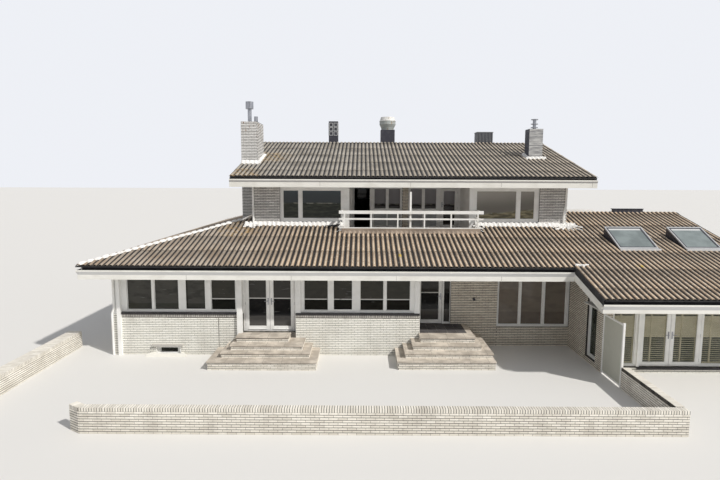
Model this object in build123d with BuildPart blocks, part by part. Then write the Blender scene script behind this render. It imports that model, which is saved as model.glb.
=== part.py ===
"""White brick house: two mirrored flats over a lower storey, and a wing that ends at a party wall.

Millimetres, +Z up, the front looks towards -Y. The origin is on the ground, in the middle of the
front wall's footprint between the two flights of steps.
"""
import os

from build123d import *

# Walls and floors
wall = 300
floor_slab = 200
main_floor = 800
wing_floor_top = 200
upper_floor_top = 3850
upper_slab = 250

# Plan of the lower storey
bay_left = -8360
door_left = -3950
door_right = -2130
front_right = 2110
front_face = -150
recess_face = 1010
wing_left = 7670
wing_right = 13400
wing_front = -1680
wing_back = 10800
main_right = 8130
main_back = 16990

# Plan of the upper storey, halved by the line between the two flats
upper_left = -4170
upper_right = 8130
upper_front = 2920
upper_back = 13920
flats_line = (upper_left + upper_right) / 2
loggia_half = 2350
loggia_back = 4870
loggia_floor_top = upper_floor_top + 100

# Roofs: every slope has the same pitch, and heights are those of the boarding under the sheets
pitch = 0.262
roof_depth = 180
sheet_nose = 30
nose_reach = 140
lower_eave_front = front_face - 850
lower_eave_left = bay_left - 760
lower_eave_z = 3210
wing_eave_front = wing_front - 1430
wing_verge = wing_left - 680
back_verge = main_right + 770
wing_ridge = 4550
upper_eave_front = upper_front - 850
upper_eave_z = 6115
upper_verge_left = upper_left - 690
upper_verge_right = upper_right + 800
ridge_line = (upper_front + upper_back) / 2
lower_eave_back = 2 * ridge_line - lower_eave_front
wing_eave_back = 2 * wing_ridge - wing_eave_front

# Corrugated sheets
wave = 177
wave_depth = 51
sheet_skin = 7
hip_gap = 20

# Eaves: a boxed fascia with a gutter in front of it
soffit_board = 26
soffit_drop = 436
wing_soffit_drop = 387
upper_soffit_drop = 386
gutter_rim_drop = 124
gutter_floor_drop = 280
upper_rim_drop = 85
upper_floor_drop = 200
gutter_skin = 15
gutter_face = 50
fascia_board = 20
lower_board = 100
board_top_drop = 30
verge_drop = 410
verge_board = 40
board_gap = 5

# Windows and doors of the lower storey
sill_top = 1490
sill_stone = 60
sill_nose = 40
frame_depth = 70
frame_set_back = 60
frame_bar = 70
glass_sheet = 24
leaf_depth = 50
door_set_back = 200
door_jamb = 60
door_threshold = 30
leaf_gap = 6
meeting_gap = 10
leaf_stile = 105
leaf_bottom_rail = 160
leaf_top_rail = 95
pane = 16
head_rail = 64
entrance_set_back = 90

# Places of the lower windows and doors
bay_panes = ((-7910, -7060), (-6970, -6140), (-5920, -5180), (-5030, -4190))
middle_panes = ((-1850, -1020), (-870, -160), (70, 880), (970, 1790))
recess_panes = ((5110, 5850), (5930, 6700), (6790, 7560))
recess_sill = 710
pier_left = 3360
pier_right = 5040
entrance = (2160, 3056)
entrance_post = 64
entrance_light_stile = 30
door_post = (8790, 8870)
wing_doors = (door_post[1], 10780)
wing_pier = wing_right - 800
side_light = (-1250, -500)
side_window = 1800
side_window_places = (3200, 8420, 13640)
back_window = 2200
back_window_places = (-6200, -2400, 2800, 6000)
wing_window = 1400
wing_window_sill = 1100
wing_window_places = (9800, 11900)
basement_window = (-6960, -6090)
basement_window_head = 300
basement_stile = 130
basement_rail = 60
hood_over = 90
hood_gap = 20
hood_depth = 55

# Steps, from the top one down: each lower one is wider and further out
step_levels = (main_floor, 620, 450, 280)
step_tread = 40
tread_nose = 30
left_step_fronts = (-680, -1010, -1270, -1630)
left_step_sides = ((-4040, -2320), (-4160, -1820), (-4410, -1570), (-4760, -1320))
right_step_fronts = (-630, -920, -1220, -1520)
right_step_sides = ((2110, 3910), (1840, 4070), (1560, 4380), (1300, 4400))

# Columns that carry the upper floor
column = 300

# Windows and doors of the upper storey
upper_sill = upper_floor_top + 510
upper_rail = 130
window_left_outer = -3100
window_right_outer = 7070
narrow_light_left = (120, 730)
narrow_light_right = (170, 730)
light_bar_left = 140
light_bar_right = 150
inner_stile_left = 90
inner_stile_right = 60
loggia_side = 230
flats_pier = 250
loggia_door_jamb = 100
loggia_doorway = 730
loggia_kick = 80
loggia_transom = loggia_floor_top + 610
loggia_sill = loggia_floor_top + 810
gable_window = 1600
gable_window_sill = upper_floor_top + 1000
gable_window_places = (7400, 11000)
upper_back_window = 1800
upper_back_window_places = (-2300, 700, 3600, 6300)

# Balcony
balcony_half = loggia_half + loggia_side + 45
balcony_front = 2080
deck_depth = 200
upstand = 60
balcony_wall_top = loggia_floor_top + 240
rail_post = 50
rail_heights = ((balcony_wall_top, 4225), (4515, 4575), (4740, 4860))
rail_overshoot = 100
stand_inset = 110
stand_count = 6
mast = 70
mast_top = 5570
mast_offset = -20

# Chimneys, vents and skylights
chimney_left = -4830
chimney_front = 4120
chimney_back = 5500
chimney_top = 8350
flue_place = (-4560, 4600)
flue_radius = 80
flue_height = 560
flue_cap_radius = 160
flue_cap_height = 290
stub_distance = 260
stub_radius = 75
stub_height = 250
right_chimney_x = (7270, 7850)
right_chimney_y = (5180, 5800)
right_chimney_top = 8200
right_flue_radius = 70
right_flue_height = 430
right_flue_discs = (60, 210, 400)
right_flue_disc = 150
disc_depth = 30
vent_set_back = 50
stack_x = (-1515, -1065)
stack_deep = 450
stack_high = 1050
drum_base_x = (1030, 1710)
drum_base_deep = 680
drum_base_high = 660
drum_neck = 300
drum_radius = 395
drum_high = 620
drum_collar = 60
drum_shoulder = 260
drum_cap = 420
drum_bevel = 60
box_x = (5735, 6505)
box_deep = 600
box_high = 550
skylight_places = ((9120, 10490), (11430, 12700))
skylight_front = 520
skylight_back = 1800
skylight_kerb = 90
skylight_lip = 30
skylight_rise = 330
skylight_frame = 50

# Downpipes, terrace walls and screen
pipe_radius = 40
pipe_shift = 75
bay_pipe_bend = (1440, 1640)
upper_pipe_bend = (4650, 5050)
garden_wall = 230
garden_wall_top = 650
terrace_front = -5860
terrace_left = -6580
terrace_right = 7900
joint_gap = 6
stub_turn = 200
stub_reach = 330
stub_back = 200
side_wall_x = (-10400, -9930)
side_wall_y = (-5600, 670)
side_wall_top = garden_wall_top - 70
screen_front = -2950
screen_post = 60
screen_panel = 24
screen_top = 1950
screen_panel_drop = 40

# White posts
post_proud = 100
bay_posts = ((bay_left, -8090), (-4120, door_left), (door_right, -1960), (1930, front_right))
proud_posts = ((-8210, -8090), (-4120, -3940))


def roof_z(y):
    """Top of the lower front slope, which the wing shares."""
    return lower_eave_z + pitch * (y - lower_eave_front)


def back_roof_z(y):
    """Top of the lower back slope."""
    return lower_eave_z + pitch * (lower_eave_back - y)


def left_roof_z(x):
    """Top of the hipped left slope."""
    return lower_eave_z + pitch * (x - lower_eave_left)


def wing_back_z(y):
    """Top of the wing's back slope."""
    return roof_z(wing_ridge) + pitch * (wing_ridge - y)


def upper_z(y):
    """Top of the upper roof on either side of its ridge."""
    return upper_eave_z + pitch * (ridge_line - upper_eave_front - abs(ridge_line - y))


def block(x, y, z):
    """Add a rectangular block between pairs of x, y and z."""
    with Locations((x[0], y[0], z[0])):
        Box(x[1] - x[0], y[1] - y[0], z[1] - z[0], align=(Align.MIN, Align.MIN, Align.MIN))


def cut_block(x, y, z):
    """Cut a rectangular block between pairs of x, y and z."""
    with Locations((x[0], y[0], z[0])):
        Box(
            x[1] - x[0], y[1] - y[0], z[1] - z[0],
            align=(Align.MIN, Align.MIN, Align.MIN), mode=Mode.SUBTRACT,
        )


def prism(plane, points, depth, mode=Mode.ADD):
    """Extrude a closed outline from its plane."""
    with BuildSketch(plane) as outline:
        with BuildLine():
            Polyline(*points, close=True)
        make_face()
    extrude(outline.sketch, amount=depth, mode=mode)


def along_x(x, points, mode=Mode.ADD):
    """Extrude a (y, z) outline between two values of x."""
    prism(Plane.YZ.offset(x[0]), points, x[1] - x[0], mode)


def along_y(y, points, mode=Mode.ADD):
    """Extrude an (x, z) outline between two values of y."""
    prism(Plane.XZ.offset(-y[1]), points, y[1] - y[0], mode)


def keep_plan(points):
    """Keep what stands on a plan outline."""
    prism(Plane.XY, points, 2 * upper_eave_z, Mode.INTERSECT)


def glazed_frame(plane, span, height, panes, depth=frame_depth, rail=frame_bar):
    """A frame across a span with panes cut through it, each given by its two sides."""
    bottom, top = height
    with BuildSketch(plane) as face:
        with Locations(((span[0] + span[1]) / 2, (bottom + top) / 2)):
            Rectangle(span[1] - span[0], top - bottom)
        for low, high in panes:
            with Locations(((low + high) / 2, (bottom + top) / 2)):
                Rectangle(high - low, top - bottom - 2 * rail, mode=Mode.SUBTRACT)
    extrude(face.sketch, amount=depth)


def even_panes(span, count, bar=frame_bar):
    """Sides of equal panes with a bar beside and between them."""
    width = (span[1] - span[0] - bar * (count + 1)) / count
    return [(span[0] + bar + i * (width + bar), span[0] + (i + 1) * (width + bar)) for i in range(count)]


def facing_front(y):
    """Plane of a frame whose front is at y, extruded towards the back."""
    return Plane.XZ.offset(-y - frame_depth)


finished = []


def keep(builder, name):
    """Label a finished piece and write it."""
    builder.part.label = name
    finished.append(name)
    export_step(builder.part, f"parts/{name}.step")


os.makedirs("parts", exist_ok=True)

soffit_z = lower_eave_z - soffit_drop
wing_eave_z = roof_z(wing_eave_front)
wing_soffit_z = wing_eave_z - wing_soffit_drop
upper_soffit_z = upper_eave_z - upper_soffit_drop
lowest_reach = min(bay_left - lower_eave_left, front_face - lower_eave_front, lower_eave_back - main_back)
wall_plate = lower_eave_z + pitch * lowest_reach - roof_depth
hip_clear = lower_eave_left + front_face + wall - lower_eave_front
front_inside = front_face + wall
upper_inside = upper_front + wall

# Brick walls of the lower storey
with BuildPart() as front_plinth:
    block((bay_left, front_right), (front_face, front_inside), (0, main_floor))
    cut_block(basement_window, (front_face, front_inside), (0, basement_window_head))
keep(front_plinth, "front_plinth")

sill_bottom = sill_top - sill_stone
return_inside = recess_face + wall
with BuildPart() as front_walls:
    block((bay_left, door_left), (front_face, front_inside), (main_floor, sill_bottom))
    block((door_right, front_right), (front_face, front_inside), (main_floor, sill_bottom))
    block((front_right, wing_left), (recess_face, return_inside), (0, recess_sill))
    block((front_right, pier_left), (recess_face, return_inside), (0, main_floor))
    block((pier_left, pier_right), (recess_face, return_inside), (0, soffit_z))
    block((wing_left + wall, wing_right - wall), (wing_front, wing_front + wall), (0, wing_floor_top))
    block((wing_pier, wing_right - wall), (wing_front, wing_front + wall), (0, wing_soffit_z))
keep(front_walls, "front_walls")

with BuildPart() as porch_side_walls:
    along_x(
        (wing_left, wing_left + wall),
        [
            (wing_front, 0),
            (return_inside, 0),
            (return_inside, roof_z(return_inside) - roof_depth),
            (wing_front, roof_z(wing_front) - roof_depth),
        ],
    )
    cut_block((wing_left, wing_left + wall), side_light, (wing_floor_top, wing_soffit_z))
    along_x(
        (front_right - wall, front_right),
        [
            (front_inside, 0),
            (return_inside, 0),
            (return_inside, roof_z(return_inside) - roof_depth),
            (front_inside, roof_z(front_inside) - roof_depth),
        ],
    )
keep(porch_side_walls, "porch_side_walls")

with BuildPart() as end_walls:
    along_x(
        (wing_right - wall, wing_right),
        [
            (wing_front, 0),
            (wing_back, 0),
            (wing_back, wing_back_z(wing_back) - roof_depth),
            (wing_ridge, roof_z(wing_ridge) - roof_depth),
            (wing_front, roof_z(wing_front) - roof_depth),
        ],
    )
    block((bay_left, bay_left + wall), (front_inside, main_back - wall), (0, wall_plate))
    for place in side_window_places:
        cut_block(
            (bay_left, bay_left + wall),
            (place - side_window / 2, place + side_window / 2),
            (sill_top, soffit_z),
        )
keep(end_walls, "end_walls")

with BuildPart() as back_walls:
    block(
        (main_right, wing_right - wall),
        (wing_back - wall, wing_back),
        (0, wing_back_z(wing_back) - roof_depth),
    )
    for place in wing_window_places:
        cut_block(
            (place - wing_window / 2, place + wing_window / 2),
            (wing_back - wall, wing_back),
            (wing_window_sill, wing_soffit_z),
        )
    block((bay_left, hip_clear), (main_back - wall, main_back), (0, wall_plate))
    along_x(
        (hip_clear, main_right),
        [
            (main_back - wall, 0),
            (main_back, 0),
            (main_back, back_roof_z(main_back) - roof_depth),
            (main_back - wall, back_roof_z(main_back - wall) - roof_depth),
        ],
    )
    for place in back_window_places:
        cut_block(
            (place - back_window / 2, place + back_window / 2),
            (main_back - wall, main_back),
            (sill_top, soffit_z),
        )
keep(back_walls, "back_walls")

slab_bottom = upper_floor_top - upper_slab
back_inside = main_back - wall
with BuildPart() as right_wall:
    along_x(
        (wing_left, main_right),
        [
            (return_inside, 0),
            (back_inside, 0),
            (back_inside, back_roof_z(back_inside) - roof_depth),
            (upper_back, back_roof_z(upper_back) - roof_depth),
            (upper_back, slab_bottom),
            (upper_front, slab_bottom),
            (upper_front, roof_z(upper_front) - roof_depth),
            (return_inside, roof_z(return_inside) - roof_depth),
        ],
    )
keep(right_wall, "right_wall")

# Beams over the windows and doors, cut to the slope of the roof
with BuildPart() as head_beams:
    block((bay_left, hip_clear), (front_face, front_inside), (soffit_z, wall_plate))
    for span, face, bottom in (
        ((hip_clear, front_right), front_face, soffit_z),
        ((front_right, wing_left), recess_face, soffit_z),
        ((wing_left + wall, wing_right - wall), wing_front, wing_soffit_z),
    ):
        along_x(
            span,
            [
                (face, bottom),
                (face + wall, bottom),
                (face + wall, roof_z(face + wall) - roof_depth),
                (face, roof_z(face) - roof_depth),
            ],
        )
    along_x(
        (upper_left, upper_right),
        [
            (upper_front, upper_soffit_z),
            (upper_inside, upper_soffit_z),
            (upper_inside, upper_z(upper_inside) - roof_depth),
            (upper_front, upper_z(upper_front) - roof_depth),
        ],
    )
keep(head_beams, "head_beams")

# Floors of the lower storey, and the columns that carry the upper one
with BuildPart() as lower_floors:
    prism(
        Plane.XY.offset(main_floor - floor_slab),
        [
            (bay_left + wall, front_inside),
            (front_right - wall, front_inside),
            (front_right - wall, return_inside),
            (wing_left, return_inside),
            (wing_left, back_inside),
            (bay_left + wall, back_inside),
        ],
        floor_slab,
    )
    prism(
        Plane.XY,
        [
            (wing_left + wall, wing_front + wall),
            (wing_right - wall, wing_front + wall),
            (wing_right - wall, wing_back - wall),
            (main_right, wing_back - wall),
            (main_right, return_inside),
            (wing_left + wall, return_inside),
        ],
        wing_floor_top,
    )
keep(lower_floors, "lower_floors")

with BuildPart() as inner_columns:
    for x in (upper_left, flats_line - column / 2):
        for y in (upper_front, upper_back - column):
            block((x, x + column), (y, y + column), (main_floor, slab_bottom))
keep(inner_columns, "inner_columns")

# Steps: brick courses under stone treads


def step_layers():
    """Heights of each level's bricks and tread, from the top one down."""
    below = list(step_levels[1:]) + [0]
    return [(low, top - step_tread, top) for low, top in zip(below, step_levels)]


def left_flight(part_of_step, nose):
    """The flight at the double doors, against the front wall."""
    for front, sides, layer in zip(left_step_fronts, left_step_sides, step_layers()):
        block(
            (sides[0] - nose, sides[1] + nose),
            (front - nose, front_face),
            part_of_step(layer),
        )


def right_flight(part_of_step, nose):
    """The flight at the entrance, which runs on into the recess."""
    for front, sides, layer in zip(right_step_fronts, right_step_sides, step_layers()):
        bottom, top = part_of_step(layer)
        left = min(sides[0] - nose, front_right)
        outline = [
            (left, front - nose),
            (sides[1] + nose, front - nose),
            (sides[1] + nose, recess_face),
            (front_right, recess_face),
        ]
        if left < front_right:
            outline += [(front_right, front_face), (left, front_face)]
        prism(Plane.XY.offset(bottom), outline, top - bottom)


def bricks(layer):
    return layer[0], layer[1]


def tread(layer):
    return layer[1], layer[2]


with BuildPart() as step_bricks:
    left_flight(bricks, 0)
    right_flight(bricks, 0)
    cut_block(proud_posts[1], (front_face - post_proud, front_face), (0, main_floor))
keep(step_bricks, "step_bricks")

with BuildPart() as step_treads:
    left_flight(tread, tread_nose)
    right_flight(tread, tread_nose)
    cut_block(proud_posts[1], (front_face - post_proud, front_face), (0, main_floor))
keep(step_treads, "step_treads")

# Stone sills and white posts
with BuildPart() as window_sills:
    block((bay_posts[0][1], bay_posts[1][0]), (front_face - sill_nose, front_inside), (sill_bottom, sill_top))
    block((door_right, front_right), (front_face - sill_nose, front_inside), (sill_bottom, sill_top))
    block(
        (basement_window[0] - hood_over, basement_window[1] + hood_over),
        (front_face - hood_over, front_face),
        (basement_window_head + hood_gap, basement_window_head + hood_gap + hood_depth),
    )
keep(window_sills, "window_sills")

with BuildPart() as front_posts:
    for span in bay_posts[:2]:
        block(span, (front_face, front_inside), (sill_bottom, soffit_z))
    for span in bay_posts[2:]:
        block(span, (front_face, front_inside), (sill_top, soffit_z))
    for span in proud_posts:
        block(span, (front_face - post_proud, front_face), (0, soffit_z))
keep(front_posts, "front_posts")

# Window frames and glass of the lower storey
bay_span = (bay_posts[0][1], bay_posts[1][0])
middle_span = (bay_posts[2][1], bay_posts[3][0])
recess_span = (pier_right, wing_left)
frame_front = front_face + frame_set_back
recess_frame_front = recess_face + frame_set_back
wing_frame_front = wing_front + frame_set_back
wing_side_span = (wing_left + wall, door_post[0])
wing_fixed_span = (wing_doors[1], wing_pier)
back_frame_front = main_back - frame_set_back - frame_depth
wing_back_frame_front = wing_back - frame_set_back - frame_depth


def spread(place, width):
    return place - width / 2, place + width / 2


front_windows = [
    (frame_front, bay_span, (sill_top, soffit_z), bay_panes),
    (frame_front, middle_span, (sill_top, soffit_z), middle_panes),
    (recess_frame_front, recess_span, (recess_sill, soffit_z), recess_panes),
    (wing_frame_front, wing_side_span, (wing_floor_top, wing_soffit_z), even_panes(wing_side_span, 1)),
    (wing_frame_front, wing_fixed_span, (wing_floor_top, wing_soffit_z), even_panes(wing_fixed_span, 2)),
]
back_windows = [
    (back_frame_front, spread(place, back_window), (sill_top, soffit_z))
    for place in back_window_places
] + [
    (wing_back_frame_front, spread(place, wing_window), (wing_window_sill, wing_soffit_z))
    for place in wing_window_places
]

with BuildPart() as lower_window_frames:
    for face, span, height, panes in front_windows:
        glazed_frame(facing_front(face), span, height, panes)
    for face, span, height in back_windows:
        glazed_frame(facing_front(face), span, height, even_panes(span, 2))
    for place in side_window_places:
        span = spread(place, side_window)
        glazed_frame(
            Plane.YZ.offset(bay_left + frame_set_back), span, (sill_top, soffit_z),
            even_panes(span, 2),
        )
    glazed_frame(
        Plane.YZ.offset(wing_left + frame_set_back), side_light, (wing_floor_top, wing_soffit_z),
        even_panes(side_light, 1),
    )
    glazed_frame(
        facing_front(frame_front), basement_window, (0, basement_window_head),
        even_panes(basement_window, 1, basement_stile), rail=basement_rail,
    )
keep(lower_window_frames, "lower_window_frames")

with BuildPart() as lower_glass:
    for face, span, height, _ in front_windows:
        block(span, (face + frame_depth, face + frame_depth + glass_sheet), height)
    for face, span, height in back_windows:
        block(span, (face - glass_sheet, face), height)
    for place in side_window_places:
        inner = bay_left + frame_set_back + frame_depth
        block((inner, inner + glass_sheet), spread(place, side_window), (sill_top, soffit_z))
    inner = wing_left + frame_set_back + frame_depth
    block((inner, inner + glass_sheet), side_light, (wing_floor_top, wing_soffit_z))
    inner = frame_front + frame_depth
    block(basement_window, (inner, inner + glass_sheet), (0, basement_window_head))
keep(lower_glass, "lower_glass")

# Door frames and leaves
door_face = front_face + door_set_back
entrance_face = recess_face + entrance_set_back
wing_door_face = wing_frame_front
door_head = soffit_z - head_rail
wing_door_head = wing_soffit_z - head_rail

with BuildPart() as door_frames:
    for left, right in ((door_left, door_left + door_jamb), (door_right - door_jamb, door_right)):
        block((left, right), (door_face, front_inside), (main_floor, soffit_z))
    block(
        (door_left + door_jamb, door_right - door_jamb),
        (door_face, front_inside),
        (door_head, soffit_z),
    )
    block(
        (door_left + door_jamb, door_right - door_jamb),
        (door_face, front_inside),
        (main_floor, main_floor + door_threshold),
    )
    glazed_frame(
        facing_front(recess_frame_front), (entrance[1], pier_left), (main_floor, soffit_z),
        [(entrance[1] + entrance_post, pier_left - entrance_light_stile)],
    )
    block(
        (front_right, entrance[0]),
        (recess_frame_front, recess_frame_front + frame_depth),
        (main_floor, soffit_z),
    )
    block(
        (entrance[0], entrance[1]),
        (recess_frame_front, recess_frame_front + frame_depth),
        (door_head, soffit_z),
    )
    block(door_post, (wing_front, wing_front + wall), (wing_floor_top, wing_soffit_z))
    block(wing_doors, (wing_door_face, wing_door_face + frame_depth), (wing_door_head, wing_soffit_z))
keep(door_frames, "door_frames")


def door_leaf(plane, span, height):
    """A glazed leaf: stiles and rails around a thinner pane."""
    bottom, top = height
    middle = (span[0] + span[1]) / 2
    glass_middle = (bottom + leaf_bottom_rail + top - leaf_top_rail) / 2
    glass_width = span[1] - span[0] - 2 * leaf_stile
    glass_height = top - bottom - leaf_bottom_rail - leaf_top_rail
    with BuildSketch(plane) as face:
        with Locations((middle, (bottom + top) / 2)):
            Rectangle(span[1] - span[0], top - bottom)
        with Locations((middle, glass_middle)):
            Rectangle(glass_width, glass_height, mode=Mode.SUBTRACT)
    extrude(face.sketch, amount=leaf_depth)
    with BuildSketch(plane.offset((leaf_depth - pane) / 2)) as glass:
        with Locations((middle, glass_middle)):
            Rectangle(glass_width, glass_height)
    extrude(glass.sketch, amount=pane)


def leaf_pair(left, right):
    """Sides of two leaves that meet in the middle of an opening."""
    middle = (left + right) / 2
    return (left + leaf_gap, middle - meeting_gap / 2), (middle + meeting_gap / 2, right - leaf_gap)


door_leaf_height = (main_floor + door_threshold + leaf_gap, door_head - leaf_gap)
wing_leaf_height = (wing_floor_top + leaf_gap, wing_door_head - leaf_gap)
entrance_leaf_height = (main_floor + leaf_gap, door_head - leaf_gap)
terrace_left_leaf, terrace_right_leaf = leaf_pair(door_left + door_jamb, door_right - door_jamb)
wing_left_leaf, wing_right_leaf = leaf_pair(*wing_doors)

with BuildPart() as terrace_door_left:
    door_leaf(Plane.XZ.offset(-door_face - leaf_depth), terrace_left_leaf, door_leaf_height)
keep(terrace_door_left, "terrace_door_left")

with BuildPart() as terrace_door_right:
    door_leaf(Plane.XZ.offset(-door_face - leaf_depth), terrace_right_leaf, door_leaf_height)
keep(terrace_door_right, "terrace_door_right")

with BuildPart() as entrance_door:
    door_leaf(
        Plane.XZ.offset(-entrance_face - leaf_depth),
        (entrance[0] + leaf_gap, entrance[1] - leaf_gap),
        entrance_leaf_height,
    )
keep(entrance_door, "entrance_door")

with BuildPart() as wing_door_left:
    door_leaf(Plane.XZ.offset(-wing_door_face - leaf_depth), wing_left_leaf, wing_leaf_height)
keep(wing_door_left, "wing_door_left")

with BuildPart() as wing_door_right:
    door_leaf(Plane.XZ.offset(-wing_door_face - leaf_depth), wing_right_leaf, wing_leaf_height)
keep(wing_door_right, "wing_door_right")

# Upper storey: its floor, brick walls and the loggia between the two front windows
with BuildPart() as upper_floor:
    block((upper_left, upper_right), (upper_front, upper_back), (slab_bottom, upper_floor_top))
keep(upper_floor, "upper_floor")

loggia_left = flats_line - loggia_half
loggia_right = flats_line + loggia_half
window_left = (window_left_outer, loggia_left - loggia_side)
window_right = (loggia_right + loggia_side, window_right_outer)

with BuildPart() as upper_front_wall:
    block((upper_left, window_left[0]), (upper_front, upper_inside), (upper_floor_top, upper_soffit_z))
    block((window_left[0], window_left[1]), (upper_front, upper_inside), (upper_floor_top, upper_sill))
    block((window_right[1], upper_right), (upper_front, upper_inside), (upper_floor_top, upper_soffit_z))
    block((window_right[0], window_right[1]), (upper_front, upper_inside), (upper_floor_top, upper_sill))
keep(upper_front_wall, "upper_front_wall")

loggia_inside = loggia_back + wall
with BuildPart() as loggia_side_walls:
    for span in ((window_left[1], loggia_left), (loggia_right, window_right[0])):
        along_x(
            span,
            [
                (upper_front, upper_floor_top),
                (loggia_inside, upper_floor_top),
                (loggia_inside, upper_z(loggia_inside) - roof_depth),
                (upper_inside, upper_z(upper_inside) - roof_depth),
                (upper_inside, upper_soffit_z),
                (upper_front, upper_soffit_z),
            ],
        )
keep(loggia_side_walls, "loggia_side_walls")

with BuildPart() as loggia_back_wall:
    block((loggia_left, loggia_right), (loggia_back, loggia_inside), (upper_floor_top, loggia_floor_top))
    block(
        (flats_line - flats_pier / 2, flats_line + flats_pier / 2),
        (loggia_back, loggia_inside),
        (loggia_floor_top, upper_soffit_z),
    )
    along_x(
        (loggia_left, loggia_right),
        [
            (loggia_back, upper_soffit_z),
            (loggia_inside, upper_soffit_z),
            (loggia_inside, upper_z(loggia_inside) - roof_depth),
            (loggia_back, upper_z(loggia_back) - roof_depth),
        ],
    )
keep(loggia_back_wall, "loggia_back_wall")

upper_back_inside = upper_back - wall


def gable(span):
    """A gable wall between the front and back walls, with windows like the others."""
    along_x(
        span,
        [
            (upper_inside, upper_floor_top),
            (upper_back_inside, upper_floor_top),
            (upper_back_inside, upper_z(upper_back_inside) - roof_depth),
            (ridge_line, upper_z(ridge_line) - roof_depth),
            (upper_inside, upper_z(upper_inside) - roof_depth),
        ],
    )
    for place in gable_window_places:
        cut_block(span, spread(place, gable_window), (gable_window_sill, upper_soffit_z))


with BuildPart() as gable_walls:
    gable((upper_left, upper_left + wall))
    gable((upper_right - wall, upper_right))
keep(gable_walls, "gable_walls")

with BuildPart() as upper_back_wall:
    along_x(
        (upper_left, upper_right),
        [
            (upper_back_inside, upper_floor_top),
            (upper_back, upper_floor_top),
            (upper_back, upper_z(upper_back) - roof_depth),
            (upper_back_inside, upper_z(upper_back_inside) - roof_depth),
        ],
    )
    for place in upper_back_window_places:
        cut_block(
            spread(place, upper_back_window), (upper_back_inside, upper_back),
            (gable_window_sill, upper_soffit_z),
        )
keep(upper_back_wall, "upper_back_wall")

# Windows of the upper storey
upper_frame_front = upper_front + frame_set_back
loggia_frame_front = loggia_back + frame_set_back
upper_back_frame = upper_back - frame_set_back - frame_depth
loggia_bays = (
    (loggia_left, flats_line - flats_pier / 2),
    (flats_line + flats_pier / 2, loggia_right),
)


def loggia_openings(bay, mirrored):
    """Sides of one flat's doorway, by the side wall, and of its window beside that."""
    def place(low, high):
        return (bay[1] - high, bay[1] - low) if mirrored else (bay[0] + low, bay[0] + high)

    width = bay[1] - bay[0]
    window_start = loggia_door_jamb + loggia_doorway + loggia_door_jamb
    return place(loggia_door_jamb, loggia_door_jamb + loggia_doorway), place(window_start, width)


with BuildPart() as upper_window_frames:
    glazed_frame(
        facing_front(upper_frame_front), window_left, (upper_sill, upper_soffit_z),
        [
            (window_left[0] + narrow_light_left[0], window_left[0] + narrow_light_left[1]),
            (window_left[0] + narrow_light_left[1] + light_bar_left, window_left[1] - inner_stile_left),
        ],
        rail=upper_rail,
    )
    glazed_frame(
        facing_front(upper_frame_front), window_right, (upper_sill, upper_soffit_z),
        [
            (
                window_right[0] + inner_stile_right,
                window_right[1] - narrow_light_right[1] - light_bar_right,
            ),
            (window_right[1] - narrow_light_right[1], window_right[1] - narrow_light_right[0]),
        ],
        rail=upper_rail,
    )
    for place in upper_back_window_places:
        span = spread(place, upper_back_window)
        glazed_frame(
            facing_front(upper_back_frame), span, (gable_window_sill, upper_soffit_z), even_panes(span, 2)
        )
    for face in (upper_left + frame_set_back, upper_right - frame_set_back - frame_depth):
        for place in gable_window_places:
            span = spread(place, gable_window)
            glazed_frame(
                Plane.YZ.offset(face), span, (gable_window_sill, upper_soffit_z), even_panes(span, 2)
            )
keep(upper_window_frames, "upper_window_frames")

with BuildPart() as loggia_screens:
    for bay, mirrored in zip(loggia_bays, (False, True)):
        doorway, window = loggia_openings(bay, mirrored)
        with BuildSketch(facing_front(loggia_frame_front)) as face:
            with Locations(((bay[0] + bay[1]) / 2, (loggia_floor_top + upper_soffit_z) / 2)):
                Rectangle(bay[1] - bay[0], upper_soffit_z - loggia_floor_top)
            with Locations((
                (doorway[0] + doorway[1]) / 2, (loggia_floor_top + upper_soffit_z - frame_bar) / 2,
            )):
                Rectangle(
                    loggia_doorway, upper_soffit_z - frame_bar - loggia_floor_top, mode=Mode.SUBTRACT
                )
            for low, high in even_panes(window, 2):
                for bottom, top in (
                    (loggia_floor_top + loggia_kick, loggia_transom),
                    (loggia_sill, upper_soffit_z - frame_bar),
                ):
                    with Locations(((low + high) / 2, (bottom + top) / 2)):
                        Rectangle(high - low, top - bottom, mode=Mode.SUBTRACT)
        extrude(face.sketch, amount=frame_depth)
keep(loggia_screens, "loggia_screens")

with BuildPart() as upper_glass:
    for span in (window_left, window_right):
        block(
            span, (upper_frame_front + frame_depth, upper_frame_front + frame_depth + glass_sheet),
            (upper_sill, upper_soffit_z),
        )
    for bay, mirrored in zip(loggia_bays, (False, True)):
        window = loggia_openings(bay, mirrored)[1]
        block(
            window, (loggia_frame_front + frame_depth, loggia_frame_front + frame_depth + glass_sheet),
            (loggia_floor_top, upper_soffit_z),
        )
    for place in upper_back_window_places:
        block(
            spread(place, upper_back_window), (upper_back_frame - glass_sheet, upper_back_frame),
            (gable_window_sill, upper_soffit_z),
        )
    gable_glass = frame_set_back + frame_depth
    for face in (upper_left + gable_glass, upper_right - gable_glass - glass_sheet):
        for place in gable_window_places:
            block(
                (face, face + glass_sheet), spread(place, gable_window),
                (gable_window_sill, upper_soffit_z),
            )
keep(upper_glass, "upper_glass")

loggia_leaf_height = (loggia_floor_top + leaf_gap, upper_soffit_z - frame_bar - leaf_gap)
with BuildPart() as loggia_doors:
    doorway = loggia_openings(loggia_bays[1], True)[0]
    door_leaf(
        Plane.XZ.offset(-loggia_frame_front - leaf_depth),
        (doorway[0] + leaf_gap, doorway[1] - leaf_gap), loggia_leaf_height,
    )
    doorway = loggia_openings(loggia_bays[0], False)[0]
    door_leaf(
        Plane.YZ.offset(doorway[0] + leaf_gap),
        (loggia_inside + leaf_gap, loggia_inside + loggia_doorway - leaf_gap), loggia_leaf_height,
    )
keep(loggia_doors, "loggia_doors")

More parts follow.
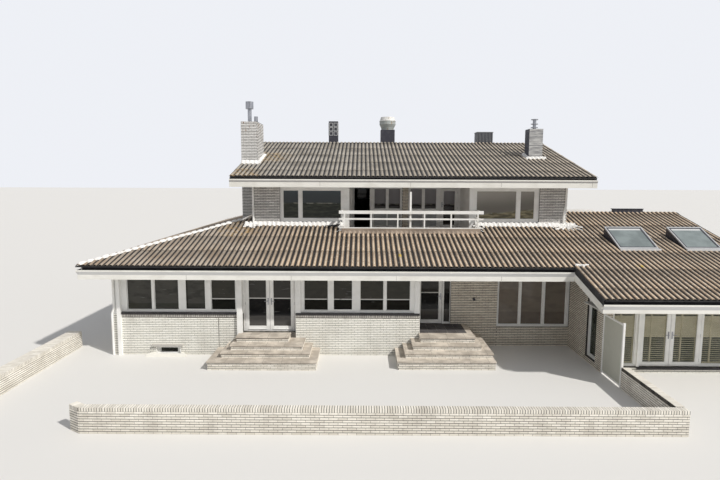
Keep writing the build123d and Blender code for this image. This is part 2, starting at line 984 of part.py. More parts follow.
# Balcony: a deck let into the lower roof, with a low wall and rails round it
balcony_left = flats_line - balcony_half
balcony_right = flats_line + balcony_half
with BuildPart() as balcony_deck:
    block(
        (balcony_left, balcony_right), (balcony_front, upper_front),
        (loggia_floor_top - deck_depth, loggia_floor_top),
    )
    block((loggia_left, loggia_right), (upper_front, loggia_back), (upper_floor_top, loggia_floor_top))
keep(balcony_deck, "balcony_deck")

with BuildPart() as balcony_walls:
    block(
        (balcony_left, balcony_right), (balcony_front, balcony_front + upstand),
        (loggia_floor_top, balcony_wall_top),
    )
    for left in (balcony_left, balcony_right - upstand):
        block((left, left + upstand), (balcony_front, upper_front), (loggia_floor_top, balcony_wall_top))
keep(balcony_walls, "balcony_walls")


def rail_panel(place, span, stands):
    """Rails with square posts, as one flat panel of a given plane."""
    low, high = span
    with BuildSketch(place) as face:
        for bottom, top in rail_heights:
            with Locations(((low + high) / 2, (bottom + top) / 2)):
                Rectangle(high - low, top - bottom)
        for stand in stands:
            with Locations((stand, (rail_heights[0][0] + rail_heights[-1][1]) / 2)):
                Rectangle(rail_post, rail_heights[-1][1] - rail_heights[0][0])
    extrude(face.sketch, amount=rail_post)


with BuildPart() as balcony_rails:
    first_stand = balcony_left + stand_inset
    stand_step = (balcony_right - stand_inset - first_stand) / (stand_count - 1)
    rail_panel(
        Plane.XZ.offset(-balcony_front - rail_post),
        (balcony_left - rail_overshoot, balcony_right + rail_overshoot),
        [first_stand + i * stand_step for i in range(stand_count)],
    )
    side_start = balcony_front + rail_post + board_gap
    for left in (balcony_left, balcony_right - rail_post):
        rail_panel(Plane.YZ.offset(left), (side_start, upper_front), [upper_front - rail_post / 2])
    block(
        spread(flats_line + mast_offset, mast),
        (balcony_front + upstand, balcony_front + upstand + mast),
        (loggia_floor_top, mast_top),
    )
keep(balcony_rails, "balcony_rails")

# Roof slopes: boarding on rafters, thinner where its edge runs out over the gutter


def slope(eave, top, height):
    """Outline of a slope from its eave to its top edge, with heights given by a function."""
    inner = eave + nose_reach if top > eave else eave - nose_reach
    return [
        (eave, height(eave) - sheet_nose),
        (inner, height(inner) - sheet_nose),
        (inner, height(inner) - roof_depth),
        (top, height(top) - roof_depth),
        (top, height(top)),
        (eave, height(eave)),
    ]


hip_meets_front = lower_eave_front + (upper_left - lower_eave_left)
hip_meets_back = 2 * ridge_line - hip_meets_front

with BuildPart() as lower_roof_front:
    along_x((lower_eave_left, wing_verge), slope(lower_eave_front, hip_meets_front, roof_z))
    keep_plan([
        (lower_eave_left, lower_eave_front),
        (wing_verge, lower_eave_front),
        (wing_verge, upper_front),
        (upper_left, upper_front),
        (upper_left, hip_meets_front),
    ])
    cut_block((balcony_left, balcony_right), (balcony_front, upper_front), (0, upper_eave_z))
keep(lower_roof_front, "lower_roof_front")

with BuildPart() as lower_roof_left:
    along_y((lower_eave_front, lower_eave_back), slope(lower_eave_left, upper_left, left_roof_z))
    keep_plan([
        (lower_eave_left, lower_eave_front),
        (upper_left, hip_meets_front),
        (upper_left, hip_meets_back),
        (lower_eave_left, lower_eave_back),
    ])
    cut_block((chimney_left, upper_left), (chimney_front, chimney_back), (0, upper_eave_z))
keep(lower_roof_left, "lower_roof_left")

with BuildPart() as lower_roof_back:
    along_x((lower_eave_left, back_verge), slope(lower_eave_back, hip_meets_back, back_roof_z))
    keep_plan([
        (lower_eave_left, lower_eave_back),
        (upper_left, hip_meets_back),
        (upper_left, upper_back),
        (back_verge, upper_back),
        (back_verge, lower_eave_back),
    ])
keep(lower_roof_back, "lower_roof_back")

with BuildPart() as wing_roof_front:
    along_x((wing_verge, wing_right), slope(wing_eave_front, wing_ridge, roof_z))
    cut_block((wing_verge, upper_right), (upper_front, wing_ridge), (0, upper_eave_z))
    cut_block(
        (wing_verge, wing_verge + verge_board), (wing_eave_front, lower_eave_front + nose_reach),
        (0, upper_eave_z),
    )
    for left, right in skylight_places:
        cut_block(
            (left + skylight_kerb, right - skylight_kerb),
            (skylight_front + skylight_kerb, skylight_back - skylight_kerb),
            (0, upper_eave_z),
        )
keep(wing_roof_front, "wing_roof_front")

with BuildPart() as wing_roof_back:
    along_x((upper_right, wing_right), slope(wing_eave_back, wing_ridge, wing_back_z))
keep(wing_roof_back, "wing_roof_back")

with BuildPart() as upper_roof_front:
    along_x(
        (upper_verge_left + verge_board, upper_verge_right - verge_board),
        slope(upper_eave_front, ridge_line, upper_z),
    )
    cut_block((upper_verge_left, upper_left), (chimney_front, chimney_back), (0, 2 * upper_eave_z))
keep(upper_roof_front, "upper_roof_front")

upper_eave_back = 2 * ridge_line - upper_eave_front
with BuildPart() as upper_roof_back:
    along_x(
        (upper_verge_left + verge_board, upper_verge_right - verge_board),
        slope(upper_eave_back, ridge_line, upper_z),
    )
keep(upper_roof_back, "upper_roof_back")

# Corrugated sheets on the boarding, cut round what stands on the roofs


def ripple(place):
    """Height of the sheets above the boarding at a place across the waves."""
    from_valley = abs(place / wave % 1 - 0.5) * 2
    return sheet_skin + (wave_depth - sheet_skin) * from_valley


def ripples(start, end):
    """The waves between two places, as (place, height) points at their crests and valleys."""
    half = wave / 2
    turns = [count * half for count in range(int(start // half) + 1, int(end // half) + 1)]
    inside = [place for place in turns if start < place < end]
    return [(place, ripple(place)) for place in [start] + inside + [end]]


def sheets(plane, across, eave_z, climb):
    """Sheets on one slope: their section above the eave, drawn up the slope."""
    section = [(across[0], eave_z)]
    section += [(place, eave_z + rise) for place, rise in ripples(*across)]
    section += [(across[1], eave_z)]
    with BuildSketch(plane) as face:
        with BuildLine():
            Polyline(*section, close=True)
        make_face()
    extrude(face.sketch, amount=climb.length, dir=climb)


def sheets_up_y(x, eave, top, height):
    """Sheets between two values of x on a slope that rises along y."""
    climb = Vector(0, top - eave, height(top) - height(eave))
    sheets(Plane.XZ.offset(-eave), x, height(eave), climb)


def sheets_up_x(y, eave, top, height):
    """Sheets between two values of y on a slope that rises along x."""
    climb = Vector(top - eave, 0, height(top) - height(eave))
    sheets(Plane.YZ.offset(eave), y, height(eave), climb)


with BuildPart() as front_sheets:
    sheets_up_y((lower_eave_left, wing_verge), lower_eave_front, upper_front, roof_z)
    keep_plan([
        (lower_eave_left + hip_gap, lower_eave_front),
        (wing_verge, lower_eave_front),
        (wing_verge, upper_front),
        (upper_left, upper_front),
        (upper_left, hip_meets_front - hip_gap),
    ])
    cut_block((balcony_left, balcony_right), (balcony_front, upper_front), (0, upper_eave_z))

with BuildPart() as left_sheets:
    sheets_up_x((lower_eave_front, lower_eave_back), lower_eave_left, upper_left, left_roof_z)
    keep_plan([
        (lower_eave_left, lower_eave_front),
        (upper_left, hip_meets_front),
        (upper_left, hip_meets_back),
        (lower_eave_left, lower_eave_back),
    ])
    cut_block((chimney_left, upper_left), (chimney_front, chimney_back), (0, upper_eave_z))

with BuildPart() as back_sheets:
    sheets_up_y((lower_eave_left, back_verge), lower_eave_back, upper_back, back_roof_z)
    keep_plan([
        (lower_eave_left + hip_gap, lower_eave_back),
        (upper_left, hip_meets_back + hip_gap),
        (upper_left, upper_back),
        (back_verge, upper_back),
        (back_verge, lower_eave_back),
    ])

with BuildPart() as lower_sheets:
    add(front_sheets.part)
    add(left_sheets.part)
    add(back_sheets.part)
keep(lower_sheets, "lower_sheets")

with BuildPart() as wing_sheets:
    sheets_up_y((wing_verge, wing_right), wing_eave_front, wing_ridge, roof_z)
    cut_block((wing_verge, upper_right), (upper_front, wing_ridge), (0, upper_eave_z))
    sheets_up_y((upper_right, wing_right), wing_eave_back, wing_ridge, wing_back_z)
    for place in skylight_places:
        cut_block(place, (skylight_front, skylight_back), (0, upper_eave_z))
keep(wing_sheets, "wing_sheets")

with BuildPart() as upper_sheets:
    sheets_up_y((upper_verge_left, upper_verge_right), upper_eave_front, ridge_line, upper_z)
    sheets_up_y((upper_verge_left, upper_verge_right), upper_eave_back, ridge_line, upper_z)
    cut_block((upper_verge_left, upper_left), (chimney_front, chimney_back), (0, chimney_top))
    cut_block(right_chimney_x, right_chimney_y, (0, chimney_top))
    for x, deep in ((stack_x, stack_deep), (drum_base_x, drum_base_deep), (box_x, box_deep)):
        cut_block(x, (ridge_line + vent_set_back, ridge_line + vent_set_back + deep), (0, chimney_top))
keep(upper_sheets, "upper_sheets")


# Eaves: boxed board below, open gutter in front, board behind it up to the sheets


def eaves(eave_z, soffit, rim_drop, floor_drop, inward):
    """Section of the eaves as (run, z) points, measured inwards from the eave line."""
    section = [
        (nose_reach, soffit),
        (nose_reach - lower_board, soffit),
        (nose_reach - lower_board, eave_z - floor_drop),
        (0, eave_z - rim_drop - gutter_face),
        (0, eave_z - rim_drop),
        (gutter_skin, eave_z - rim_drop),
        (gutter_skin, eave_z - rim_drop - gutter_face),
        (nose_reach - lower_board + gutter_skin, eave_z - floor_drop + gutter_skin),
        (nose_reach - fascia_board, eave_z - floor_drop + gutter_skin),
        (nose_reach - fascia_board, eave_z - board_top_drop),
        (nose_reach, eave_z - board_top_drop),
    ]
    start, turn = inward
    return [(start + turn * run, z) for run, z in section]


lower_section = (lower_eave_z, soffit_z, gutter_rim_drop, gutter_floor_drop)
wing_section = (wing_eave_z, wing_soffit_z, gutter_rim_drop, gutter_floor_drop)
upper_section = (upper_eave_z, upper_soffit_z, upper_rim_drop, upper_floor_drop)
inner_front = lower_eave_front + nose_reach
inner_left = lower_eave_left + nose_reach
inner_back = lower_eave_back - nose_reach

with BuildPart() as front_gutter:
    along_x((lower_eave_left, wing_verge), eaves(*lower_section, (lower_eave_front, 1)))
    keep_plan([
        (lower_eave_left + board_gap, lower_eave_front), (wing_verge, lower_eave_front),
        (wing_verge, inner_front), (inner_left + board_gap, inner_front),
    ])

with BuildPart() as left_gutter:
    along_y((lower_eave_front, lower_eave_back), eaves(*lower_section, (lower_eave_left, 1)))
    keep_plan([
        (lower_eave_left, lower_eave_front), (inner_left, inner_front),
        (inner_left, inner_back), (lower_eave_left, lower_eave_back),
    ])

with BuildPart() as back_gutter:
    along_x((lower_eave_left, back_verge), eaves(*lower_section, (lower_eave_back, -1)))
    keep_plan([
        (lower_eave_left + board_gap, lower_eave_back), (inner_left + board_gap, inner_back),
        (back_verge, inner_back), (back_verge, lower_eave_back),
    ])

with BuildPart() as lower_gutters:
    add(front_gutter.part)
    add(left_gutter.part)
    add(back_gutter.part)
    along_x((wing_verge, wing_right), eaves(*wing_section, (wing_eave_front, 1)))
    along_x((upper_right, wing_right), eaves(*wing_section, (wing_eave_back, -1)))
keep(lower_gutters, "lower_gutters")

with BuildPart() as upper_gutters:
    for place in ((upper_eave_front, 1), (upper_eave_back, -1)):
        along_x((upper_verge_left, upper_verge_right), eaves(*upper_section, place))
keep(upper_gutters, "upper_gutters")


def verge(x, y, height):
    """A sloping board along the side of a roof between two values of y."""
    along_x(
        x,
        [
            (y[0], height(y[0]) - verge_drop),
            (y[1], height(y[1]) - verge_drop),
            (y[1], height(y[1])),
            (y[0], height(y[0])),
        ],
    )


with BuildPart() as verge_boards:
    verge(
        (wing_verge, wing_verge + verge_board),
        (wing_eave_front + nose_reach, lower_eave_front + nose_reach), roof_z,
    )
    left_board = (upper_verge_left, upper_verge_left + verge_board)
    right_board = (upper_verge_right - verge_board, upper_verge_right)
    inner_upper = upper_eave_front + nose_reach
    inner_upper_back = upper_eave_back - nose_reach
    for board, y in (
        (left_board, (inner_upper, chimney_front - board_gap)),
        (left_board, (chimney_back + board_gap, ridge_line - board_gap)),
        (left_board, (ridge_line + board_gap, inner_upper_back)),
        (right_board, (inner_upper, ridge_line - board_gap)),
        (right_board, (ridge_line + board_gap, inner_upper_back)),
    ):
        verge(board, y, upper_z)
keep(verge_boards, "verge_boards")

# Soffits: level boards between the eaves and the walls, a joint apart

lower_soffit_height = (soffit_z, soffit_z + soffit_board)
upper_soffit_height = (upper_soffit_z, upper_soffit_z + soffit_board)
with BuildPart() as soffits:
    block((inner_left, front_right - board_gap), (inner_front, front_face), lower_soffit_height)
    block((front_right, wing_verge), (inner_front, recess_face), lower_soffit_height)
    block((inner_left, bay_left), (front_face + board_gap, main_back - board_gap), lower_soffit_height)
    block((inner_left, main_right), (main_back, inner_back), lower_soffit_height)
    between_verges = (upper_verge_left + verge_board, upper_verge_right - verge_board)
    block(between_verges, (inner_upper, upper_front), upper_soffit_height)
    block(between_verges, (upper_back, inner_upper_back), upper_soffit_height)
    block((loggia_left, loggia_right), (upper_inside, loggia_back), upper_soffit_height)
    block(
        (wing_verge + verge_board, wing_right), (wing_eave_front + nose_reach, wing_front),
        (wing_soffit_z, wing_soffit_z + soffit_board),
    )
keep(soffits, "soffits")

# Chimneys and vents
with BuildPart() as left_chimney:
    block((chimney_left, upper_left), (chimney_front, chimney_back), (main_floor, chimney_top))
keep(left_chimney, "left_chimney")


def stand_on_roof(x, y, top):
    """A shaft whose foot is cut to the slope that it stands on."""
    along_x(x, [(y[0], upper_z(y[0])), (y[1], upper_z(y[1])), (y[1], top), (y[0], top)])


with BuildPart() as right_chimney:
    stand_on_roof(right_chimney_x, right_chimney_y, right_chimney_top)
keep(right_chimney, "right_chimney")

flue_x = (right_chimney_x[0] + right_chimney_x[1]) / 2
flue_y = (right_chimney_y[0] + right_chimney_y[1]) / 2
with BuildPart() as flues:
    with BuildSketch(Plane.XY.offset(chimney_top)) as tube:
        with Locations((flue_place[0], flue_place[1])):
            Circle(flue_radius)
    extrude(tube.sketch, amount=flue_height)
    with BuildSketch(Plane.XY.offset(chimney_top + flue_height)) as cap:
        with Locations((flue_place[0], flue_place[1])):
            Circle(flue_cap_radius)
    extrude(cap.sketch, amount=flue_cap_height)
    with BuildSketch(Plane.XY.offset(chimney_top)) as stub:
        with Locations((flue_place[0] + stub_distance, flue_place[1])):
            Circle(stub_radius)
    extrude(stub.sketch, amount=stub_height)
    with BuildSketch(Plane.XY.offset(right_chimney_top)) as tube:
        with Locations((flue_x, flue_y)):
            Circle(right_flue_radius)
    extrude(tube.sketch, amount=right_flue_height)
    for disc in right_flue_discs:
        with BuildSketch(Plane.XY.offset(right_chimney_top + disc)) as plate:
            with Locations((flue_x, flue_y)):
                Circle(right_flue_disc)
        extrude(plate.sketch, amount=disc_depth)
keep(flues, "flues")

ridge_z = upper_z(ridge_line)
with BuildPart() as roof_vents:
    for x, deep, high in (
        (stack_x, stack_deep, stack_high),
        (drum_base_x, drum_base_deep, drum_base_high),
        (box_x, box_deep, box_high),
    ):
        stand_on_roof(x, (ridge_line + vent_set_back, ridge_line + vent_set_back + deep), ridge_z + high)
keep(roof_vents, "roof_vents")

with BuildPart() as drum_cowl:
    with BuildSketch(Plane.XZ.offset(-(ridge_line + vent_set_back + drum_base_deep / 2))) as outline:
        middle = (drum_base_x[0] + drum_base_x[1]) / 2
        foot = ridge_z + drum_base_high
        with BuildLine():
            Polyline(
                (middle, foot), (middle + drum_neck, foot), (middle + drum_neck, foot + drum_collar),
                (middle + drum_radius, foot + drum_shoulder), (middle + drum_radius, foot + drum_cap),
                (middle + drum_radius - drum_bevel, foot + drum_high), (middle, foot + drum_high),
                close=True,
            )
        make_face()
    revolve(
        outline.sketch,
        axis=Axis((middle, ridge_line + vent_set_back + drum_base_deep / 2, 0), (0, 0, 1)),
    )
keep(drum_cowl, "drum_cowl")

# Skylights in the wing's roof: steeper than it, on kerbs
with BuildPart() as skylight_kerbs:
    for left, right in skylight_places:
        along_x(
            (left, right),
            [
                (skylight_front, roof_z(skylight_front)),
                (skylight_back, roof_z(skylight_back)),
                (skylight_back, roof_z(skylight_back) + skylight_rise),
                (skylight_front, roof_z(skylight_front) + skylight_lip),
            ],
        )
        cut_block(
            (left + skylight_kerb, right - skylight_kerb),
            (skylight_front + skylight_kerb, skylight_back - skylight_kerb),
            (0, upper_eave_z),
        )
keep(skylight_kerbs, "skylight_kerbs")

with BuildPart() as skylight_glass:
    fall = (roof_z(skylight_back) + skylight_rise - roof_z(skylight_front) - skylight_lip) / (
        skylight_back - skylight_front
    )
    for left, right in skylight_places:
        low = roof_z(skylight_front) + skylight_lip
        high = roof_z(skylight_back) + skylight_rise
        along_x(
            (left, right),
            [
                (skylight_front, low), (skylight_back, high),
                (skylight_back, high + skylight_frame), (skylight_front, low + skylight_frame),
            ],
        )
keep(skylight_glass, "skylight_glass")

# Downpipes


def pipe(*points):
    """A round pipe along straight runs with mitred elbows."""
    with BuildLine() as route:
        Polyline(*points)
    with BuildSketch(Plane(origin=points[0], z_dir=(0, 0, 1))) as ring:
        Circle(pipe_radius)
    sweep(ring.sketch, path=route.wire(), transition=Transition.RIGHT)


bay_pipe_x = bay_left + pipe_radius
upper_pipe_y = upper_front - pipe_radius
upper_pipe_foot = roof_z(upper_front) + wave_depth
right_pipe_x = upper_right - pipe_radius
with BuildPart() as downpipes:
    pipe(
        (bay_pipe_x - pipe_shift, front_face - pipe_radius, 0),
        (bay_pipe_x - pipe_shift, front_face - pipe_radius, bay_pipe_bend[0]),
        (bay_pipe_x, front_face - pipe_radius, bay_pipe_bend[1]),
        (bay_pipe_x, front_face - pipe_radius, soffit_z),
    )
    with BuildSketch(Plane.XY.offset(upper_pipe_foot)) as ring:
        with Locations((upper_left + pipe_radius, upper_pipe_y)):
            Circle(pipe_radius)
    extrude(ring.sketch, amount=upper_soffit_z - upper_pipe_foot)
    pipe(
        (right_pipe_x - pipe_shift, upper_pipe_y, upper_pipe_foot),
        (right_pipe_x - pipe_shift, upper_pipe_y, upper_pipe_bend[0]),
        (right_pipe_x, upper_pipe_y, upper_pipe_bend[1]),
        (right_pipe_x, upper_pipe_y, upper_soffit_z),
    )
keep(downpipes, "downpipes")

# Terrace walls and the screen at the wing
with BuildPart() as terrace_front_wall:
    block((terrace_left, terrace_right), (terrace_front, terrace_front + garden_wall), (0, garden_wall_top))
    prism(
        Plane.XY,
        [
            (terrace_left - joint_gap, terrace_front),
            (terrace_left - joint_gap, terrace_front + garden_wall),
            (terrace_left - stub_turn, terrace_front + garden_wall + stub_back),
            (terrace_left - stub_reach, terrace_front + stub_back),
        ],
        garden_wall_top,
    )
keep(terrace_front_wall, "terrace_front_wall")

with BuildPart() as terrace_side_walls:
    block(
        (terrace_right - garden_wall, terrace_right), (terrace_front + garden_wall, screen_front),
        (0, garden_wall_top),
    )
    block(side_wall_x, side_wall_y, (0, side_wall_top))
keep(terrace_side_walls, "terrace_side_walls")

with BuildPart() as wind_screen:
    screen_x = (wing_left, wing_left + screen_post)
    block(screen_x, (screen_front, screen_front + screen_post), (0, screen_top))
    block(screen_x, (wing_front - screen_post, wing_front), (0, screen_top))
    block(
        (wing_left + (screen_post - screen_panel) / 2, wing_left + (screen_post + screen_panel) / 2),
        (screen_front + screen_post, wing_front - screen_post), (0, screen_top - screen_panel_drop),
    )
keep(wind_screen, "wind_screen")

print(len(finished), "nodes")
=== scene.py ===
"""Looks of the white brick apartment house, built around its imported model.

Metres, in the part's own frame: +Z up, the front looks towards -Y. Bricks, corrugated sheets, mortar,
glazing, door leaves and fittings are built on the solids or stand for them, and the rest of the solids
get materials.
"""
import math
import random

import bmesh
import bpy
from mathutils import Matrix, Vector


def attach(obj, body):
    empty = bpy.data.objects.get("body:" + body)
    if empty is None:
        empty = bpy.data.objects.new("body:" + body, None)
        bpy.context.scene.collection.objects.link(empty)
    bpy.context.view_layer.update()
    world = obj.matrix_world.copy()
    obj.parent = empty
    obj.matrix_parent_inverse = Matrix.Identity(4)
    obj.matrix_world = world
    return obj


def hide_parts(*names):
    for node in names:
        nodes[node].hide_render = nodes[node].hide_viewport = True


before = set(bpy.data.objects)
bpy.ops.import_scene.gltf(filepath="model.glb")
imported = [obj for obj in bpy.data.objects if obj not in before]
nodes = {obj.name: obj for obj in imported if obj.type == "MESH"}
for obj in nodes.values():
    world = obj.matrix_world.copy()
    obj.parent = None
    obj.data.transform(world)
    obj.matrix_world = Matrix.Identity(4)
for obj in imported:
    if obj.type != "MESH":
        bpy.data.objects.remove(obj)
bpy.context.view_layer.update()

# Camera of the photograph
camera_place = (0.12, -17.78, 6.06)
camera_down = math.radians(6.64)
camera_left = math.radians(0.217)
camera_roll = -0.004
camera_lens = 26.4

# Bricks: courses, and how far a brick stands out of its joints
course = 0.0625
brick_length = 0.22
joint = 0.015
worn_joint = 0.022
end_joint = 0.006
brick_proud = 0.008
brick_edge = 0.003
brick_on_edge = 0.100

# Walls
bay_left = -8.36
corner_pier = -8.21
bay_wall = (-8.09, -4.12)
front_right = 2.11
middle_wall = (-2.13, front_right)
front_face = -0.15
recess_face = 1.01
wing_left = 7.67
wing_corner = 7.97
wing_right = 13.40
wing_front = -1.68
wing_back = 10.80
main_right = 8.13
main_back = 16.99
upper_left = -4.17
upper_right = 8.13
upper_front = 2.92
upper_back = 13.92
upper_piers = ((upper_left, -3.10), (7.07, upper_right))
upper_floor_top = 3.85
loggia_floor = 3.95
loggia_back = 4.87
lower_wall_top = 3.2
porch_wall_top = 2.75
wing_wall_top = 2.7
upper_wall_top = 6.1
gable_top = 7.8
ridge_line = (upper_front + upper_back) / 2
flats_line = (upper_left + upper_right) / 2
balcony_left = flats_line - 2.625
balcony_right = flats_line + 2.625
balcony_front = 2.08

# Roofs, by the top of their boarding
pitch = 0.262
lower_eave = -1.0
left_eave = -9.12
lower_eave_z = 3.21
back_eave = 2 * ridge_line - lower_eave
back_edge = back_eave - 0.004
wing_eave = -3.11
wing_verge = 6.99
wing_ridge = 4.55
wing_eave_back = 2 * wing_ridge - wing_eave
upper_eave = 2.07
upper_eave_z = 6.115
upper_eave_back = 2 * ridge_line - upper_eave
upper_verge_left = -4.86
upper_verge_right = 8.93
back_verge = 8.90
hip_front = lower_eave + upper_left - left_eave
hip_back = 2 * ridge_line - hip_front

# Corrugated sheets
wave = 0.177
wave_rise = 0.044
sheet_skin = 0.0065
sheet_width = 5 * wave
lap_rise = 0.008
lap_line = 0.25
lap_step = 1.35
lap_cover = 0.03
lap_jitter = 0.006

# Patches of lichen on the sheets: x, y and radius
orange_lichen = ((-4.6, 2.4, 1.1), (-3.9, 5.2, 1.3))
yellow_lichen = ((1.40, -0.12, 0.17), (9.13, -0.90, 0.14))

# Heights and openings of the walls
soffit = 2.774
wing_soffit = 2.270
upper_soffit = 5.729
sill_top = 1.49
sill_bottom = 1.43
recess_sill = 0.71
wing_floor = 0.2
wing_sill = 1.1
upper_sill = 4.36
gable_sill = 4.85
bay_panes = ((-7.91, -7.06), (-6.97, -6.14), (-5.92, -5.18), (-5.03, -4.19))
middle_panes = ((-1.85, -1.02), (-0.87, -0.16), (0.07, 0.88), (0.97, 1.79))
recess_panes = ((5.11, 5.85), (5.93, 6.70), (6.79, 7.56))
wing_panes = ((8.04, 8.72), (10.85, 11.655), (11.725, 12.53))
upper_left_panes = ((-2.98, -2.37), (-2.23, -0.69))
upper_right_panes = ((4.62, 6.19), (6.34, 6.90))
loggia_panes = ((0.63, 1.1725), (1.2425, 1.785), (2.175, 2.7175), (2.7875, 3.33))
pier = (3.36, 5.04)
wing_pier = 12.6
side_light = (-1.25, -0.50)
basement_window = (-6.96, -6.09)
basement_pane = (-6.83, -6.22)

# Windows of the sides and the back: the middles of those in one wall, and their width
side_windows = ((3.2, 8.42, 13.64), 1.8)
back_windows = ((-6.2, -2.4, 2.8, 6.0), 2.2)
wing_windows = ((9.8, 11.9), 1.4)
gable_windows = ((7.4, 11.0), 1.6)
upper_back_windows = ((-2.3, 0.7, 3.6, 6.3), 1.8)

# Window frames and door leaves
frame_bar = 0.07
upper_rail = 0.13
frame_front = 0.060
glass_front = 0.118
glass_back = 0.124
bead = 0.018
bead_front = 0.098
leaf_depth = 0.05
leaf_stile = 0.105
leaf_bottom_rail = 0.12
leaf_top_rail = 0.095
handle_height = 1.02
terrace_leaves = 0.05
entrance_leaf = 1.10
wing_leaves = -1.62
loggia_leaves = 4.93

# Steps: tread heights, fronts and sides, from the top one down
step_levels = (0.80, 0.62, 0.45, 0.28, 0.0)
step_tread = 0.04
left_step_fronts = (-0.68, -1.01, -1.27, -1.63)
left_step_sides = ((-4.04, -2.32), (-4.16, -1.82), (-4.41, -1.57), (-4.76, -1.32))
right_step_fronts = (-0.63, -0.92, -1.22, -1.52)
right_step_sides = ((2.11, 3.91), (1.84, 4.07), (1.56, 4.38), (1.30, 4.40))

# Chimneys, vents and skylights
chimney_x = (-4.83, upper_left)
chimney_y = (4.12, 5.50)
chimney_top = 8.35
chimney_right_foot = 6.6
clad_x = (7.27, 7.85)
clad_y = (5.18, 5.80)
vent_front = ridge_line + 0.05
stack_x = (-1.515, -1.065)
stack_depth = 0.45
stack_foot = 8.15
drum_middle = (1.37, ridge_line + 0.39)
box_x = (5.735, 6.505)
box_depth = 0.6
skylights = ((9.12, 10.49), (11.43, 12.70))
skylight_run = (0.52, 1.80)
skylight_lip = 0.03
skylight_rise = 0.33
skylight_edge = 0.045
skylight_border = 0.095

# Wind screen beside the wing
screen_x = (7.67, 7.73)
screen_posts = ((-2.95, -2.89), (-1.74, -1.68))
screen_rails = ((0.05, 0.10), (1.86, 1.91))
screen_height = 1.95

# Terrace walls
terrace_front = -5.86
terrace_left = -6.58
terrace_right = 7.90
garden_wall_depth = 0.23
left_wall_depth = 0.47
garden_wall_top = 0.65


def lower_z(y):
    """Boarding of the lower front slope and the wing's front slope."""
    return lower_eave_z + pitch * (y - lower_eave)


def back_z(y):
    """Boarding of the lower back slope."""
    return lower_eave_z + pitch * (back_eave - y)


def left_z(x):
    """Boarding of the hipped left slope."""
    return lower_eave_z + pitch * (x - left_eave)


def wing_back_z(y):
    """Boarding of the wing's back slope."""
    return lower_z(wing_ridge) + pitch * (wing_ridge - y)


def upper_z(y):
    """Boarding of the upper roof."""
    return upper_eave_z + pitch * (ridge_line - upper_eave - abs(ridge_line - y))


